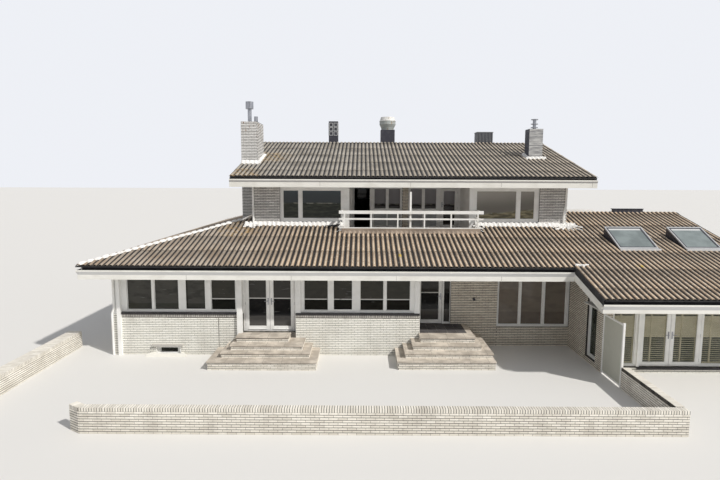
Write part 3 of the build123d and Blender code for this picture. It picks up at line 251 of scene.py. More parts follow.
class Look:
    """A material whose texture nodes are added and joined one by one."""

    def __init__(self, name, roughness=0.6, metallic=0.0):
        self.material = bpy.data.materials.new(name)
        self.material.use_nodes = True
        self.nodes = self.material.node_tree.nodes
        self.links = self.material.node_tree.links
        self.shader = self.nodes["Principled BSDF"]
        self.shader.inputs["Roughness"].default_value = roughness
        self.shader.inputs["Metallic"].default_value = metallic
        self.place = self.nodes.new("ShaderNodeTexCoord").outputs["Object"]

    def join(self, value, socket):
        """Set a socket to a number or colour, or link an output to it."""
        if isinstance(value, bpy.types.NodeSocket):
            self.links.new(value, socket)
        elif isinstance(value, tuple):
            socket.default_value = (*value, 1.0)[: len(socket.default_value)]
        else:
            socket.default_value = value

    def noise(self, scale, detail=3.0, stretch=(1, 1, 1), roughness=0.55):
        """Noise at a scale per metre, stretched along the axes."""
        mapping = self.nodes.new("ShaderNodeMapping")
        mapping.inputs["Scale"].default_value = stretch
        self.links.new(self.place, mapping.inputs["Vector"])
        texture = self.nodes.new("ShaderNodeTexNoise")
        texture.inputs["Scale"].default_value = scale
        texture.inputs["Detail"].default_value = detail
        texture.inputs["Roughness"].default_value = roughness
        self.links.new(mapping.outputs["Vector"], texture.inputs["Vector"])
        return texture.outputs[0]

    def axis(self, letter):
        """One coordinate of the place on the object."""
        split = self.nodes.new("ShaderNodeSeparateXYZ")
        self.links.new(self.place, split.inputs[0])
        return split.outputs[letter]

    def facing(self, letter):
        """One component of the surface's direction."""
        split = self.nodes.new("ShaderNodeSeparateXYZ")
        geometry = self.nodes.new("ShaderNodeNewGeometry")
        self.links.new(geometry.outputs["Normal"], split.inputs[0])
        return split.outputs[letter]

    def point(self, name):
        """A number kept with the mesh's points."""
        attribute = self.nodes.new("ShaderNodeAttribute")
        attribute.attribute_name = name
        return attribute.outputs["Fac"]

    def sum(self, operation, first, second=0.5):
        """Arithmetic on two values."""
        step = self.nodes.new("ShaderNodeMath")
        step.operation = operation
        self.join(first, step.inputs[0])
        self.join(second, step.inputs[1])
        return step.outputs[0]

    def times(self, *values):
        """The product of several values."""
        product = values[0]
        for value in values[1:]:
            product = self.sum("MULTIPLY", product, value)
        return product

    def band(self, value, low, high, start=0.0, end=1.0):
        """A smooth change from start to end as the value goes from low to high."""
        step = self.nodes.new("ShaderNodeMapRange")
        step.interpolation_type = "SMOOTHSTEP"
        self.join(value, step.inputs["Value"])
        for name, number in (("From Min", low), ("From Max", high), ("To Min", start), ("To Max", end)):
            step.inputs[name].default_value = number
        return step.outputs[0]

    def cloud(self, grain, low, high, start=0.0, end=1.0):
        """A band over noise, whose grain is its scale and detail, and maybe its stretch and roughness."""
        return self.band(self.noise(*grain), low, high, start, end)

    def strip(self, value, low, high, edge):
        """One between two values and zero outside them."""
        return self.times(self.band(value, low - edge, low), self.band(value, high + edge, high))

    def grooves(self, letter, spacing, width):
        """One in thin lines that repeat along an axis."""
        run = self.sum("FRACT", self.sum("DIVIDE", self.axis(letter), spacing))
        from_middle = self.sum("ABSOLUTE", self.sum("SUBTRACT", run, 0.5))
        return self.band(from_middle, 0.5 - width / spacing, 0.5)

    def near(self, x, y, radius):
        """One around a place in plan, fading out over a radius."""
        along = self.sum("SUBTRACT", self.axis("X"), x)
        up = self.sum("SUBTRACT", self.axis("Y"), y)
        apart = self.sum("SQRT", self.sum("ADD", self.times(along, along), self.times(up, up)))
        return self.band(apart, radius, 0.3 * radius)

    def mix(self, amount, first, second):
        """A colour between two others."""
        step = self.nodes.new("ShaderNodeMix")
        step.data_type = "RGBA"
        self.join(amount, step.inputs[0])
        self.join(first, step.inputs[6])
        self.join(second, step.inputs[7])
        return step.outputs[2]

    def roughness(self, value):
        """The surface's roughness."""
        self.join(value, self.shader.inputs["Roughness"])

    def done(self, colour, height=None, distance=0.0, strength=1.0):
        """The finished material, with its colour and the relief of a height field, in metres."""
        self.join(colour, self.shader.inputs["Base Color"])
        if height:
            step = self.nodes.new("ShaderNodeBump")
            step.inputs["Distance"].default_value = distance
            step.inputs["Strength"].default_value = strength
            self.join(height, step.inputs["Height"])
            self.links.new(step.outputs[0], self.shader.inputs["Normal"])
        return self.material


# Materials


def painted_brick(name, fresh, worn, bare, wear, stain=None):
    """Brick under old paint: each brick has its own tone, and the paint is rubbed through in places."""
    look = Look(name, 0.78)
    own = look.mix(look.point("tone"), worn, fresh)
    streaks = look.noise(2.2, 5, (1, 1, 0.45))
    patchy_mask = look.cloud((11, 6, (1, 1, 2.2), 0.7), wear, wear + 0.16)
    soiled = look.mix(look.band(streaks, 0.42, 0.75, 0.0, 0.35), own, bare)
    aged = look.mix(patchy_mask, soiled, bare)
    if stain:
        runs = look.cloud((9, 6, (1, 1, 0.35), 0.7), 0.54, 0.64)
        aged = look.mix(look.times(runs, look.band(look.axis("Z"), 7.5, 8.3, 0.05, 0.95)), aged, stain)
    damp = look.band(look.axis("Z"), 0.0, 0.35, 0.25, 0.0)
    return look.done(look.mix(damp, aged, (0.45, 0.42, 0.36)), look.noise(90, 4), 0.0022, 0.8)


def clouded(name, roughness, first, second, cloud, grain, distance, strength):
    """Two tones in clouds, with a grain in relief."""
    look = Look(name, roughness)
    return look.done(look.mix(look.cloud(*cloud), first, second), look.noise(*grain), distance, strength)


def mortar_joint(name, pale, dark):
    """Recessed joints behind the bricks, and the plain inner face of the walls."""
    return clouded(name, 0.92, dark, pale, ((5, 6), 0.35, 0.65), (140, 3), 0.002, 0.7)


def brick_wall(name, fresh, worn, seam):
    """Whole painted brickwork, for the party wall, where no brick may stand out."""
    look = Look(name, 0.8)
    flat = look.nodes.new("ShaderNodeCombineXYZ")
    look.links.new(look.axis("Y"), flat.inputs["X"])
    look.links.new(look.axis("Z"), flat.inputs["Y"])
    pattern = look.nodes.new("ShaderNodeTexBrick")
    look.links.new(flat.outputs[0], pattern.inputs["Vector"])
    for key, value in (
        ("Scale", 1.0), ("Brick Width", brick_length), ("Row Height", course), ("Mortar Size", joint / 2),
        ("Mortar Smooth", 0.3), ("Bias", 0.0), ("Color1", (*fresh, 1)), ("Color2", (*worn, 1)),
        ("Mortar", (*seam, 1)),
    ):
        pattern.inputs[key].default_value = value
    soil = look.cloud((2.0, 6, (1, 1, 0.6)), 0.45, 0.75, 0.0, 0.5)
    soiled = look.mix(soil, pattern.outputs["Color"], seam)
    return look.done(soiled, look.sum("SUBTRACT", 1.0, pattern.outputs["Fac"]), 0.004)


def roof_sheet(name, grey, brown, dark, valley, turn):
    """Weathered corrugated sheet: grey at the left and browner past a turn, valleys darkened by dirt and
    painted shade, a painted highlight on the crests of the brown sheets, and lichen.
    """
    look = Look(name, 0.86)
    drift = look.sum("ADD", look.axis("X"), look.times(look.noise(0.5, 3), 3.0))
    warm = look.band(drift, turn[0], turn[1])
    stained = look.cloud((0.9, 6, (1, 1, 1), 0.6), 0.30, 0.62)
    aged = look.mix(stained, dark, look.mix(warm, grey, brown))
    each = look.mix(look.band(look.point("tone"), 0.0, 1.0, 0.0, 0.30), aged, dark)
    streaks = look.cloud((16, 5, (1, 0.12, 1), 0.6), 0.40, 0.66, 0.0, 0.45)
    grain = look.mix(look.cloud((34, 5), 0.45, 0.66, 0.0, 0.45), look.mix(streaks, each, dark), dark)
    # Painted highlight: a pale colour on the crests of the brown sheets, in patches, where sunlight falls on
    # them
    patchy_mask = look.cloud((15, 6, (1, 0.5, 1), 0.72), 0.40, 0.56, 0.15, 1.0)
    top = look.times(look.band(look.point("crest"), 0.74, 1.0), warm, patchy_mask, 0.85)
    with_painted_highlight = look.mix(top, grain, (0.80, 0.69, 0.55))
    # Valleys near black: dirt, and painted shade of the flanks, reaching further up the waves on the brown
    # side
    shaded = look.sum("SUBTRACT", look.point("crest"), look.times(warm, 0.16))
    in_valley = look.mix(look.band(shaded, 0.60, 0.18), with_painted_highlight, valley)
    moss = look.times(look.band(look.point("lap"), 0.4, 1.0), look.cloud((21, 3), 0.42, 0.55))
    lapped = look.mix(look.times(moss, 0.65), in_valley, (0.045, 0.040, 0.034))
    spots = look.cloud((17, 3), 0.64, 0.69)
    patches = look.cloud((0.8, 2), 0.46, 0.60)
    on_crest = look.band(look.point("crest"), 0.3, 0.8)
    with_lichen = look.mix(look.times(spots, patches, on_crest), lapped, (0.50, 0.46, 0.26))
    corners = look.sum("MAXIMUM", *(look.near(*spot) for spot in orange_lichen))
    orange = look.times(corners, look.cloud((7, 5), 0.48, 0.60), 0.7)
    with_orange = look.mix(orange, with_lichen, (0.42, 0.27, 0.10))
    yellow = look.sum("MAXIMUM", *(look.near(*spot) for spot in yellow_lichen))
    bright = look.mix(look.times(yellow, on_crest), with_orange, (0.72, 0.52, 0.10))
    pale_spots = look.cloud((26, 2), 0.69, 0.72)
    return look.done(look.mix(pale_spots, bright, (0.62, 0.60, 0.53)), look.noise(70, 5), 0.003, 0.9)


def paint(name, colour, soil, roughness=0.45, grain=(1, 1, 1), underside_shade=None):
    """Old gloss paint on boards, with faint soiling, brush marks and, where a shade colour is given, painted
    shade on faces that look down.
    """
    look = Look(name, roughness)
    dirt = look.cloud((1.7, 6, (1, 1, 1.6)), 0.40, 0.72, 0.0, 0.45)
    specks = look.cloud((55, 3), 0.64, 0.74, 0.0, 0.3)
    coat = look.mix(specks, look.mix(dirt, colour, soil), soil)
    # Painted shade: faces that look down take the grey underside colour
    if underside_shade:
        coat = look.mix(look.band(look.facing("Z"), -0.15, -0.4), coat, underside_shade)
    look.roughness(look.cloud((8, 4), 0.3, 0.7, roughness - 0.08, roughness + 0.15))
    return look.done(coat, look.noise(60, 3, grain), 0.0012, 0.5)


def boards(name, colour, soil, width, letter):
    """Painted boards with a groove at each board's edge."""
    look = Look(name, 0.55)
    groove = look.grooves(letter, width, 0.004)
    dirt = look.cloud((2.5, 5), 0.4, 0.75, 0.0, 0.5)
    grooved = look.mix(groove, look.mix(dirt, colour, soil), (0.2, 0.19, 0.17))
    return look.done(grooved, look.times(groove, -1.0), 0.004)


def stone(name, pale, dark, scale=14, roughness=0.7, slab=None):
    """Stone with cloudy tones and a fine grain, in slabs where a slab length is given."""
    look = Look(name, roughness)
    clouds = look.mix(look.cloud((scale / 6, 5), 0.35, 0.68), dark, pale)
    surface = look.mix(look.cloud((scale * 5, 4), 0.55, 0.75, 0.0, 0.6), clouds, dark)
    if slab:
        surface = look.mix(look.grooves("X", slab, 0.006), surface, (0.16, 0.14, 0.12))
    return look.done(surface, look.noise(scale * 6, 4), 0.002, 0.8)


def room_glass(name, high, low, turn, line=0.0, foot=None, shapes=0.5, across=(1, 1, 2.5)):
    """Glass over a dim room painted in shade: one tone above a height and another below, with a pale sill
    line between, and painted glints.
    """
    look = Look(name, 0.04)
    height = look.axis("Z")
    base = look.mix(look.band(height, turn - 0.012, turn + 0.012), low, high)
    blots = look.cloud((1.9, 2, across), 0.44, 0.68, 0.0, shapes)
    base = look.mix(blots, base, (0.010, 0.010, 0.008))
    # Painted glints: pale streaks for light reflected in the glass
    glints = look.cloud((3.6, 4, (0.5, 1, 5.0)), 0.66, 0.70, 0.0, 0.28)
    base = look.mix(glints, base, (0.30, 0.31, 0.30))
    if line:
        edge = look.strip(height, turn, turn + 0.03, 0.006)
        broken = look.cloud((1.3, 3), 0.36, 0.44)
        base = look.mix(look.times(edge, broken, look.point("tone"), line), base, (0.62, 0.62, 0.60))
    if foot:
        base = look.mix(look.band(height, foot + 0.012, foot - 0.012), base, (0.082, 0.078, 0.074))
    look.shader.inputs["Specular IOR Level"].default_value = 0.25
    return look.done(base)


def reflection_painted_glass(name, sky, haze, hill, field, horizon, slope):
    """Upper glass painted with a reflection of the country opposite: pale sky, a dark hill that leans, and
    fields below it.
    """
    look = Look(name, 0.04)
    lean = look.times(look.axis("X"), slope)
    rough_height = look.sum("ADD", look.axis("Z"), look.times(look.noise(1.1, 4), 0.16))
    height = look.sum("SUBTRACT", rough_height, lean)
    above = look.mix(look.band(height, horizon + 0.15, horizon + 0.9), haze, sky)
    below = look.mix(look.cloud((3.2, 6, (1, 1, 4.0)), 0.36, 0.70), hill, field)
    base = look.mix(look.band(height, horizon - 0.03, horizon + 0.05), below, above)
    shore = look.times(look.strip(height, horizon - 0.02, horizon, 0.02), look.cloud((4, 3), 0.45, 0.55))
    look.shader.inputs["Specular IOR Level"].default_value = 0.25
    return look.done(look.mix(shore, base, (0.20, 0.20, 0.17)))


def clear_glass(name):
    """A clear pane with a faint sheen, for the shutters behind it."""
    look = Look(name, 0.04)
    look.shader.inputs["Alpha"].default_value = 0.22
    return look.done(look.mix(look.cloud((1.2, 4), 0.4, 0.6), (0.10, 0.12, 0.09), (0.20, 0.22, 0.18)))


def metal(name, colour, roughness, streak=(1, 1, 0.15)):
    """Weathered metal with streaks down it."""
    look = Look(name, roughness, 0.85)
    runs = look.cloud((14, 5, streak), 0.35, 0.7)
    look.roughness(look.cloud((30, 3), 0.3, 0.7, roughness - 0.08, roughness + 0.18))
    return look.done(look.mix(runs, colour, tuple(0.55 * part for part in colour)))


def dark_coat(name, colour, roughness=0.5):
    """Dark coated sheet with dusty patches."""
    dusty = tuple(part + 0.05 for part in colour)
    return clouded(name, roughness, colour, dusty, ((6, 6), 0.45, 0.75, 0.0, 0.5), (40, 3), 0.001, 0.4)


def chimney_cladding():
    """Slate strips on the right chimney: streaked grey to the front, and painted shade, near black, on its
    left side.
    """
    look = Look("chimney_cladding", 0.6)
    runs = look.cloud((7, 5, (0.25, 0.25, 3.0)), 0.42, 0.62)
    pale = look.mix(runs, (0.52, 0.52, 0.51), (0.24, 0.24, 0.25))
    # Painted shade: the faces turned to the left go near black
    shade = look.mix(look.band(look.facing("X"), -0.4, -0.6), pale, (0.035, 0.038, 0.055))
    strips = look.grooves("Z", 0.15, 0.008)
    return look.done(look.mix(strips, shade, (0.12, 0.12, 0.13)), look.times(strips, -1.0), 0.006)


def cowl_paint():
    """Cream cap over a greyer drum, with rust in patches."""
    look = Look("cowl_paint", 0.45)
    height = look.axis("Z")
    drum = look.mix(look.band(height, 8.86, 8.88), (0.40, 0.43, 0.42), (0.78, 0.78, 0.76))
    rust = look.cloud((12, 6, (1, 1, 0.4)), 0.56, 0.68, 0.0, 0.7)
    return look.done(look.mix(rust, drum, (0.26, 0.18, 0.11)), look.noise(50, 3), 0.001, 0.5)


def skylight_pane():
    """Glass painted with a reflection of the sky, and a white blind rolled up at its top."""
    look = Look("skylight_pane", 0.05)
    run = look.axis("Y")
    blind = look.band(run, 1.60, 1.62)
    # Painted reflection: the sky as clouds of two teal-greys
    sheen = look.mix(look.cloud((1.5, 3), 0.35, 0.65), (0.15, 0.18, 0.18), (0.22, 0.26, 0.26))
    look.shader.inputs["Specular IOR Level"].default_value = 0.3
    return look.done(look.mix(blind, sheen, (0.60, 0.61, 0.61)))


sunny_brick = painted_brick("painted_brick", (0.95, 0.94, 0.88), (0.87, 0.86, 0.79), (0.52, 0.49, 0.43), 0.68)
garden_brick = painted_brick("garden_brick", (0.94, 0.90, 0.82), (0.74, 0.70, 0.62), (0.40, 0.36, 0.31), 0.63)
grey_brick = painted_brick(
    "weathered_brick", (0.95, 0.93, 0.90), (0.70, 0.69, 0.67), (0.48, 0.44, 0.40), 0.62
)
gable_brick = painted_brick("gable_brick", (0.74, 0.73, 0.71), (0.60, 0.59, 0.57), (0.44, 0.41, 0.37), 0.66)
porch_brick = painted_brick("porch_brick", (0.95, 0.89, 0.77), (0.79, 0.72, 0.61), (0.50, 0.44, 0.37), 0.60)
# Grey brick: the course on edge under the ledges, painted grey for the ledge's shadow, and the basement
# hood's own grey
grey_and_painted_shade_brick = painted_brick("grey_and_painted_shade_brick", (0.60, 0.58, 0.54), (0.42, 0.40, 0.37), (0.30, 0.28, 0.25), 0.60)
chimney_brick = painted_brick(
    "chimney_brick", (0.95, 0.94, 0.92), (0.80, 0.79, 0.77), (0.50, 0.47, 0.42), 0.62, (0.40, 0.22, 0.12)
)
sunny_joint = mortar_joint("wall_joints", (0.17, 0.155, 0.135), (0.050, 0.046, 0.042))
dark_joint = mortar_joint("dark_joints", (0.050, 0.045, 0.039), (0.020, 0.018, 0.016))
garden_joint = mortar_joint("garden_joints", (0.11, 0.10, 0.085), (0.035, 0.032, 0.028))
upper_joint = mortar_joint("upper_joints", (0.045, 0.044, 0.044), (0.018, 0.018, 0.019))
gable_joint = mortar_joint("gable_joints", (0.24, 0.235, 0.23), (0.12, 0.118, 0.115))
party_brick = brick_wall("party_brick", (0.74, 0.72, 0.67), (0.60, 0.58, 0.54), (0.36, 0.34, 0.31))
mortar = clouded(
    "white_mortar", 0.85, (0.84, 0.83, 0.81), (0.44, 0.41, 0.37),
    ((9, 7, (1, 1, 1), 0.7), 0.54, 0.74), (45, 6), 0.006, 0.9,
)
lower_sheet = roof_sheet(
    "lower_roof_sheets", (0.50, 0.44, 0.37), (0.60, 0.42, 0.27), (0.32, 0.24, 0.17), (0.014, 0.012, 0.011),
    (-3.5, 0.5),
)
upper_sheet = roof_sheet(
    "upper_roof_sheets", (0.50, 0.46, 0.40), (0.52, 0.44, 0.35), (0.25, 0.22, 0.18), (0.014, 0.013, 0.014),
    (0.5, 7.0),
)
white_paint = paint("white_paint", (0.92, 0.92, 0.90), (0.72, 0.71, 0.68))
cream_paint = paint("cream_paint", (0.84, 0.83, 0.78), (0.62, 0.60, 0.54), underside_shade=(0.62, 0.62, 0.62))
rail_paint = paint("rail_paint", (0.90, 0.90, 0.88), (0.70, 0.67, 0.60))
screen_paint = paint("screen_paint", (0.55, 0.55, 0.48), (0.51, 0.52, 0.45), 0.6)
panel_paint = paint("panel_paint", (0.42, 0.43, 0.43), (0.30, 0.31, 0.31), 0.35)
light_frame = paint("light_frame", (0.24, 0.25, 0.26), (0.17, 0.17, 0.18), 0.35)
pale_frame = paint("pale_frame", (0.50, 0.51, 0.52), (0.34, 0.34, 0.35), 0.35)
louvre_paint = paint("louvre_paint", (0.66, 0.67, 0.68), (0.48, 0.48, 0.50), 0.35)
shutter_paint = paint("shutter_paint", (0.92, 0.83, 0.60), (0.66, 0.59, 0.42), 0.5)
soffit_boards = boards("soffit_boards", (0.74, 0.72, 0.67), (0.50, 0.48, 0.44), 0.12, "Y")
parapet_coat = stone("parapet_coat", (0.36, 0.29, 0.23), (0.24, 0.19, 0.15), 10, 0.8, slab=0.9)
under_roof = dark_coat("under_roof", (0.018, 0.017, 0.018), 0.8)
# Near black, for painted shade and litter in the gutters
gutter_shade_and_dirt = dark_coat("gutter_shade_and_dirt", (0.012, 0.012, 0.014), 0.9)
dark_metal = dark_coat("dark_metal", (0.028, 0.028, 0.040))
ledge_stone = stone("ledge_stone", (0.034, 0.031, 0.034), (0.016, 0.015, 0.016), roughness=0.85)
# Near-black stone for the landing, painted for the shade that falls on it
landing_painted_shade = stone("landing_painted_shade", (0.105, 0.100, 0.100), (0.055, 0.050, 0.052), roughness=0.85)
step_stone = stone("step_stone", (0.72, 0.65, 0.56), (0.44, 0.39, 0.33), slab=0.6)
concrete = stone("plain_concrete", (0.50, 0.49, 0.47), (0.36, 0.35, 0.33), 8, 0.85)
steel = metal("weathered_steel", (0.40, 0.41, 0.44), 0.32)
cladding = chimney_cladding()
cowl = cowl_paint()
bay_glass = room_glass("bay_glass", (0.062, 0.060, 0.052), (0.036, 0.037, 0.028), 1.78)
middle_glass = room_glass("middle_glass", (0.036, 0.034, 0.026), (0.009, 0.009, 0.007), 1.93, 1.0, shapes=0.3)
door_glass = room_glass("door_glass", (0.040, 0.038, 0.034), (0.009, 0.009, 0.010), 1.93, 1.0, 1.33, 0.2)
recess_glass = room_glass("recess_glass", (0.210, 0.180, 0.150), (0.165, 0.140, 0.116), 1.25, shapes=0.15)
loggia_glass = reflection_painted_glass(
    "loggia_glass", (0.24, 0.23, 0.24), (0.20, 0.19, 0.20), (0.028, 0.024, 0.026), (0.06, 0.055, 0.05),
    5.05, 0.0,
)
upper_left_glass = reflection_painted_glass(
    "upper_left_glass", (0.075, 0.10, 0.12), (0.045, 0.055, 0.062), (0.016, 0.020, 0.014),
    (0.050, 0.056, 0.040), 5.17, 0.0,
)
upper_right_glass = reflection_painted_glass(
    "upper_right_glass", (0.36, 0.345, 0.315), (0.160, 0.150, 0.130), (0.100, 0.090, 0.056),
    (0.30, 0.265, 0.16), 4.28, 0.10,
)
plain_glass = room_glass("plain_glass", (0.070, 0.080, 0.084), (0.030, 0.032, 0.028), 1.7)
shutter_glass = clear_glass("shutter_glass")
blind_glass = skylight_pane()

# Meshes

cell_sides = ((0, 2, 3, 1), (4, 5, 7, 6), (0, 1, 5, 4), (1, 3, 7, 5), (3, 2, 6, 7), (2, 0, 4, 6))
brick_sides = ((4, 5, 6, 7), (0, 1, 5, 4), (1, 2, 6, 5), (2, 3, 7, 6), (3, 0, 4, 7))


def turned_over(faces):
    """The same faces seen from their other side."""
    return [tuple(reversed(face)) for face in faces]


def net(count, sides):
    """Faces between rows of points: the number of rows, and the points in each."""
    return [
        (sides * i + k, sides * i + sides + k, sides * i + sides + k + 1, sides * i + k + 1)
        for i in range(count - 1) for k in range(sides - 1)
    ]


class Pile:
    """Faces gathered for one piece, with a tone, a crest and a lap value for each point."""

    def __init__(self):
        self.points = []
        self.faces = []
        self.values = {"tone": [], "crest": [], "lap": []}

    def add(self, points, faces, tone=0.5, crests=None, laps=None):
        """Add a mesh whose faces count from its own first point."""
        first = len(self.points)
        self.points.extend(points)
        self.faces.extend(tuple(first + i for i in face) for face in faces)
        self.values["tone"].extend(tone if isinstance(tone, list) else [tone] * len(points))
        self.values["crest"].extend(crests or [1.0] * len(points))
        self.values["lap"].extend(laps or [0.0] * len(points))

    def block(self, x, y, z, tone=0.5):
        """Add a box between pairs of x, y and z."""
        self.add([(x[i & 1], y[i >> 1 & 1], z[i >> 2 & 1]) for i in range(8)], cell_sides, tone)

    def tube(self, path, radius, sides=16, tone=0.5):
        """Add a round tube along a path, closed at both ends."""
        path = [Vector(place) for place in path]
        rings = []
        for i, place in enumerate(path):
            turn = (path[min(i + 1, len(path) - 1)] - path[max(i - 1, 0)]).to_track_quat("Z", "Y")
            size = radius[i] if isinstance(radius, (list, tuple)) else radius
            for k in range(sides):
                angle = 2 * math.pi * k / sides
                rings.append(place + turn @ Vector((size * math.cos(angle), size * math.sin(angle), 0)))
        faces = []
        for i in range(len(path) - 1):
            for k in range(sides):
                low, high = i * sides, (i + 1) * sides
                faces.append((low + k, low + (k + 1) % sides, high + (k + 1) % sides, high + k))
        faces.append(tuple(reversed(range(sides))))
        faces.append(tuple(range((len(path) - 1) * sides, len(path) * sides)))
        self.add([tuple(place) for place in rings], faces, tone)

    def piece(self, name, material, slot, body="house", bevel=0.0, smooth=False, stands_for=()):
        """Make the piece, let it ride on its body, and hide the nodes that it stands for. The slot is not
        used.
        """
        mesh = bpy.data.meshes.new(name)
        mesh.from_pydata(self.points, [], self.faces)
        for key, values in self.values.items():
            mesh.attributes.new(key, "FLOAT", "POINT").data.foreach_set("value", values)
        mesh.materials.append(material)
        if smooth:
            mesh.shade_smooth()
            mesh.set_sharp_from_angle(angle=math.radians(40))
        made = bpy.data.objects.new(name, mesh)
        bpy.context.scene.collection.objects.link(made)
        if bevel:
            rounding = made.modifiers.new("bevel", "BEVEL")
            rounding.width = bevel
            rounding.segments = 2
            rounding.limit_method = "ANGLE"
        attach(made, body)
        if stands_for:
            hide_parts(*stands_for)
        return made


class Face:
    """A wall plane: a place on it is a run along it, a distance outwards and a height."""

    def __init__(self, origin, along, outward):
        self.origin = origin
        self.along = along
        self.outward = outward
        self.turned = along[0] * outward[1] < along[1] * outward[0]

    def at(self, u, out, z):
        """The place in space."""
        return tuple(self.origin[i] + self.along[i] * u + self.outward[i] * out for i in (0, 1)) + (z,)

    def box(self, pile, u, out, z, tone=0.5):
        """Add a box on the face, between pairs of run, distance and height."""
        corners = [self.at(u[i & 1], out[i >> 1 & 1], z[i >> 2 & 1]) for i in range(8)]
        pile.add(corners, turned_over(cell_sides) if self.turned else cell_sides, tone)

    def rails(self, pile, u, out, z, width, tone=0.5):
        """Add four bars around the inside of a rectangle."""
        self.box(pile, u, out, (z[0], z[0] + width), tone)
        self.box(pile, u, out, (z[1] - width, z[1]), tone)
        self.box(pile, (u[0], u[0] + width), out, (z[0] + width, z[1] - width), tone)
        self.box(pile, (u[1] - width, u[1]), out, (z[0] + width, z[1] - width), tone)

    def brick(self, pile, u, z, tone, proud=brick_proud):
        """Add one brick that stands out of the face."""
        edge = brick_edge
        back = [(u[0], z[0]), (u[1], z[0]), (u[1], z[1]), (u[0], z[1])]
        inset = ((edge, edge), (-edge, edge), (-edge, -edge), (edge, -edge))
        points = [self.at(a, 0, b) for a, b in back]
        points += [self.at(a + da, proud, b + db) for (a, b), (da, db) in zip(back, inset)]
        pile.add(points, brick_sides if self.turned else turned_over(brick_sides), tone)


def front(y):
    """A face towards the front, run along x."""
    return Face((0, y), (1, 0), (0, -1))


def back(y):
    """A face towards the back, run along x."""
    return Face((0, y), (1, 0), (0, 1))


def left(x):
    """A face towards the left, run along y."""
    return Face((x, 0), (0, 1), (-1, 0))


def right(x):
    """A face towards the right, run along y."""
    return Face((x, 0), (0, 1), (1, 0))


def spread(windows):
    """The two sides of each window of one width around several places."""
    places, width = windows
    return [(place - width / 2, place + width / 2) for place in places]


def block_piece(name, material, slot, blocks, **options):
    """One piece made of boxes between pairs of x, y and z."""
    pile = Pile()
    for x, y, z in blocks:
        pile.block(x, y, z)
    pile.piece(name, material, slot, **options)


def cut_away(piece, place, direction):
    """Cut a mesh with a plane and drop what lies on the side that the direction points to."""
    shape = bmesh.new()
    shape.from_mesh(piece.data)
    bmesh.ops.bisect_plane(
        shape, geom=shape.verts[:] + shape.edges[:] + shape.faces[:], dist=1e-5,
        plane_co=place, plane_no=direction, clear_outer=True,
    )
    shape.to_mesh(piece.data)
    shape.free()


# Bricks


def less(rectangle, hole):
    """What a hole leaves of a rectangle, as rectangles (u0, u1, z0, z1)."""
    u0, u1, z0, z1 = rectangle
    a0, a1, b0, b1 = hole
    if a1 <= u0 or a0 >= u1 or b1 <= z0 or b0 >= z1:
        return [rectangle]
    parts = [
        (u0, a0, z0, z1), (a1, u1, z0, z1),
        (max(u0, a0), min(u1, a1), z0, b0), (max(u0, a0), min(u1, a1), b1, z1),
    ]
    return [part for part in parts if part[1] - part[0] > joint and part[3] - part[2] > joint]


def lay(pile, face, across, height, chance, holes=(), bed=joint):
    """Bricks in running bond between two sides and two heights, cut round the holes."""
    for row in range(math.ceil((height[1] - height[0]) / course)):
        low = height[0] + row * course
        high = min(low + course - bed, height[1])
        start = (row % 2) * brick_length / 2
        first = math.floor((across[0] - start) / brick_length)
        for i in range(first, math.ceil(across[1] / brick_length) + 1):
            near = max(start + i * brick_length, across[0])
            far = min(start + (i + 1) * brick_length - end_joint, across[1])
            parts = [(near, far, low, high)] if far - near > joint and high - low > joint else []
            for hole in holes:
                parts = [rest for part in parts for rest in less(part, hole)]
            for u0, u1, z0, z1 in parts:
                face.brick(pile, (u0, u1), (z0, z1), chance.random())


def lay_on_edge(pile, face, across, height, chance, proud=brick_proud):
    """One row of bricks that stand on edge."""
    count = round((across[1] - across[0]) / course)
    step = (across[1] - across[0]) / count
    for i in range(count):
        near = across[0] + i * step
        face.brick(pile, (near, near + step - joint), (height[0], height[1]), chance.random(), proud)


def brick_piece(name, walls, material, seed, cuts=(), bed=joint):
    """One piece of bricks on several wall faces, each with its sides, its heights and any holes."""
    chance = random.Random(seed)
    pile = Pile()
    for face, across, height, *holes in walls:
        lay(pile, face, across, height, chance, holes, bed)
    piece = pile.piece(name, material, "white_brick")
    for place, direction in cuts:
        cut_away(piece, place, direction)
    return piece


def openings(windows, low, high):
    """The holes of windows between two heights."""
    return [(*sides, low, high) for sides in spread(windows)]


on_edge = (sill_bottom - brick_on_edge, sill_bottom - joint)
expansion_joint = (-4.785, -4.765, 0, sill_bottom)
hood_hole = (-7.05, -6.0, 0.32, 0.375)
brick_piece(
    "front_bricks",
    [
        (front(front_face), (bay_left, corner_pier), (0, sill_bottom)),
        (
            front(front_face), bay_wall, (0, on_edge[0] - joint),
            (*basement_window, 0, 0.3), hood_hole, expansion_joint,
        ),
        (front(front_face), middle_wall, (0, on_edge[0] - joint)),
        (front(wing_front), (wing_corner, wing_pier), (0, wing_floor)),
        (front(wing_front), (wing_pier, wing_right), (0, wing_soffit)),
        (right(front_right), (front_face, recess_face), (0, porch_wall_top)),
    ],
    sunny_brick, 1,
)
brick_piece(
    "porch_bricks",
    [
        (front(recess_face), pier, (0, soffit)),
        (front(recess_face), (pier[1], wing_left), (0, recess_sill)),
        (
            left(wing_left), (wing_front, recess_face), (0, porch_wall_top),
            (*side_light, wing_floor, wing_soffit),
        ),
        (front(wing_front), (wing_left, wing_corner), (0, wing_soffit)),
    ],
    porch_brick, 7, bed=worn_joint,
)
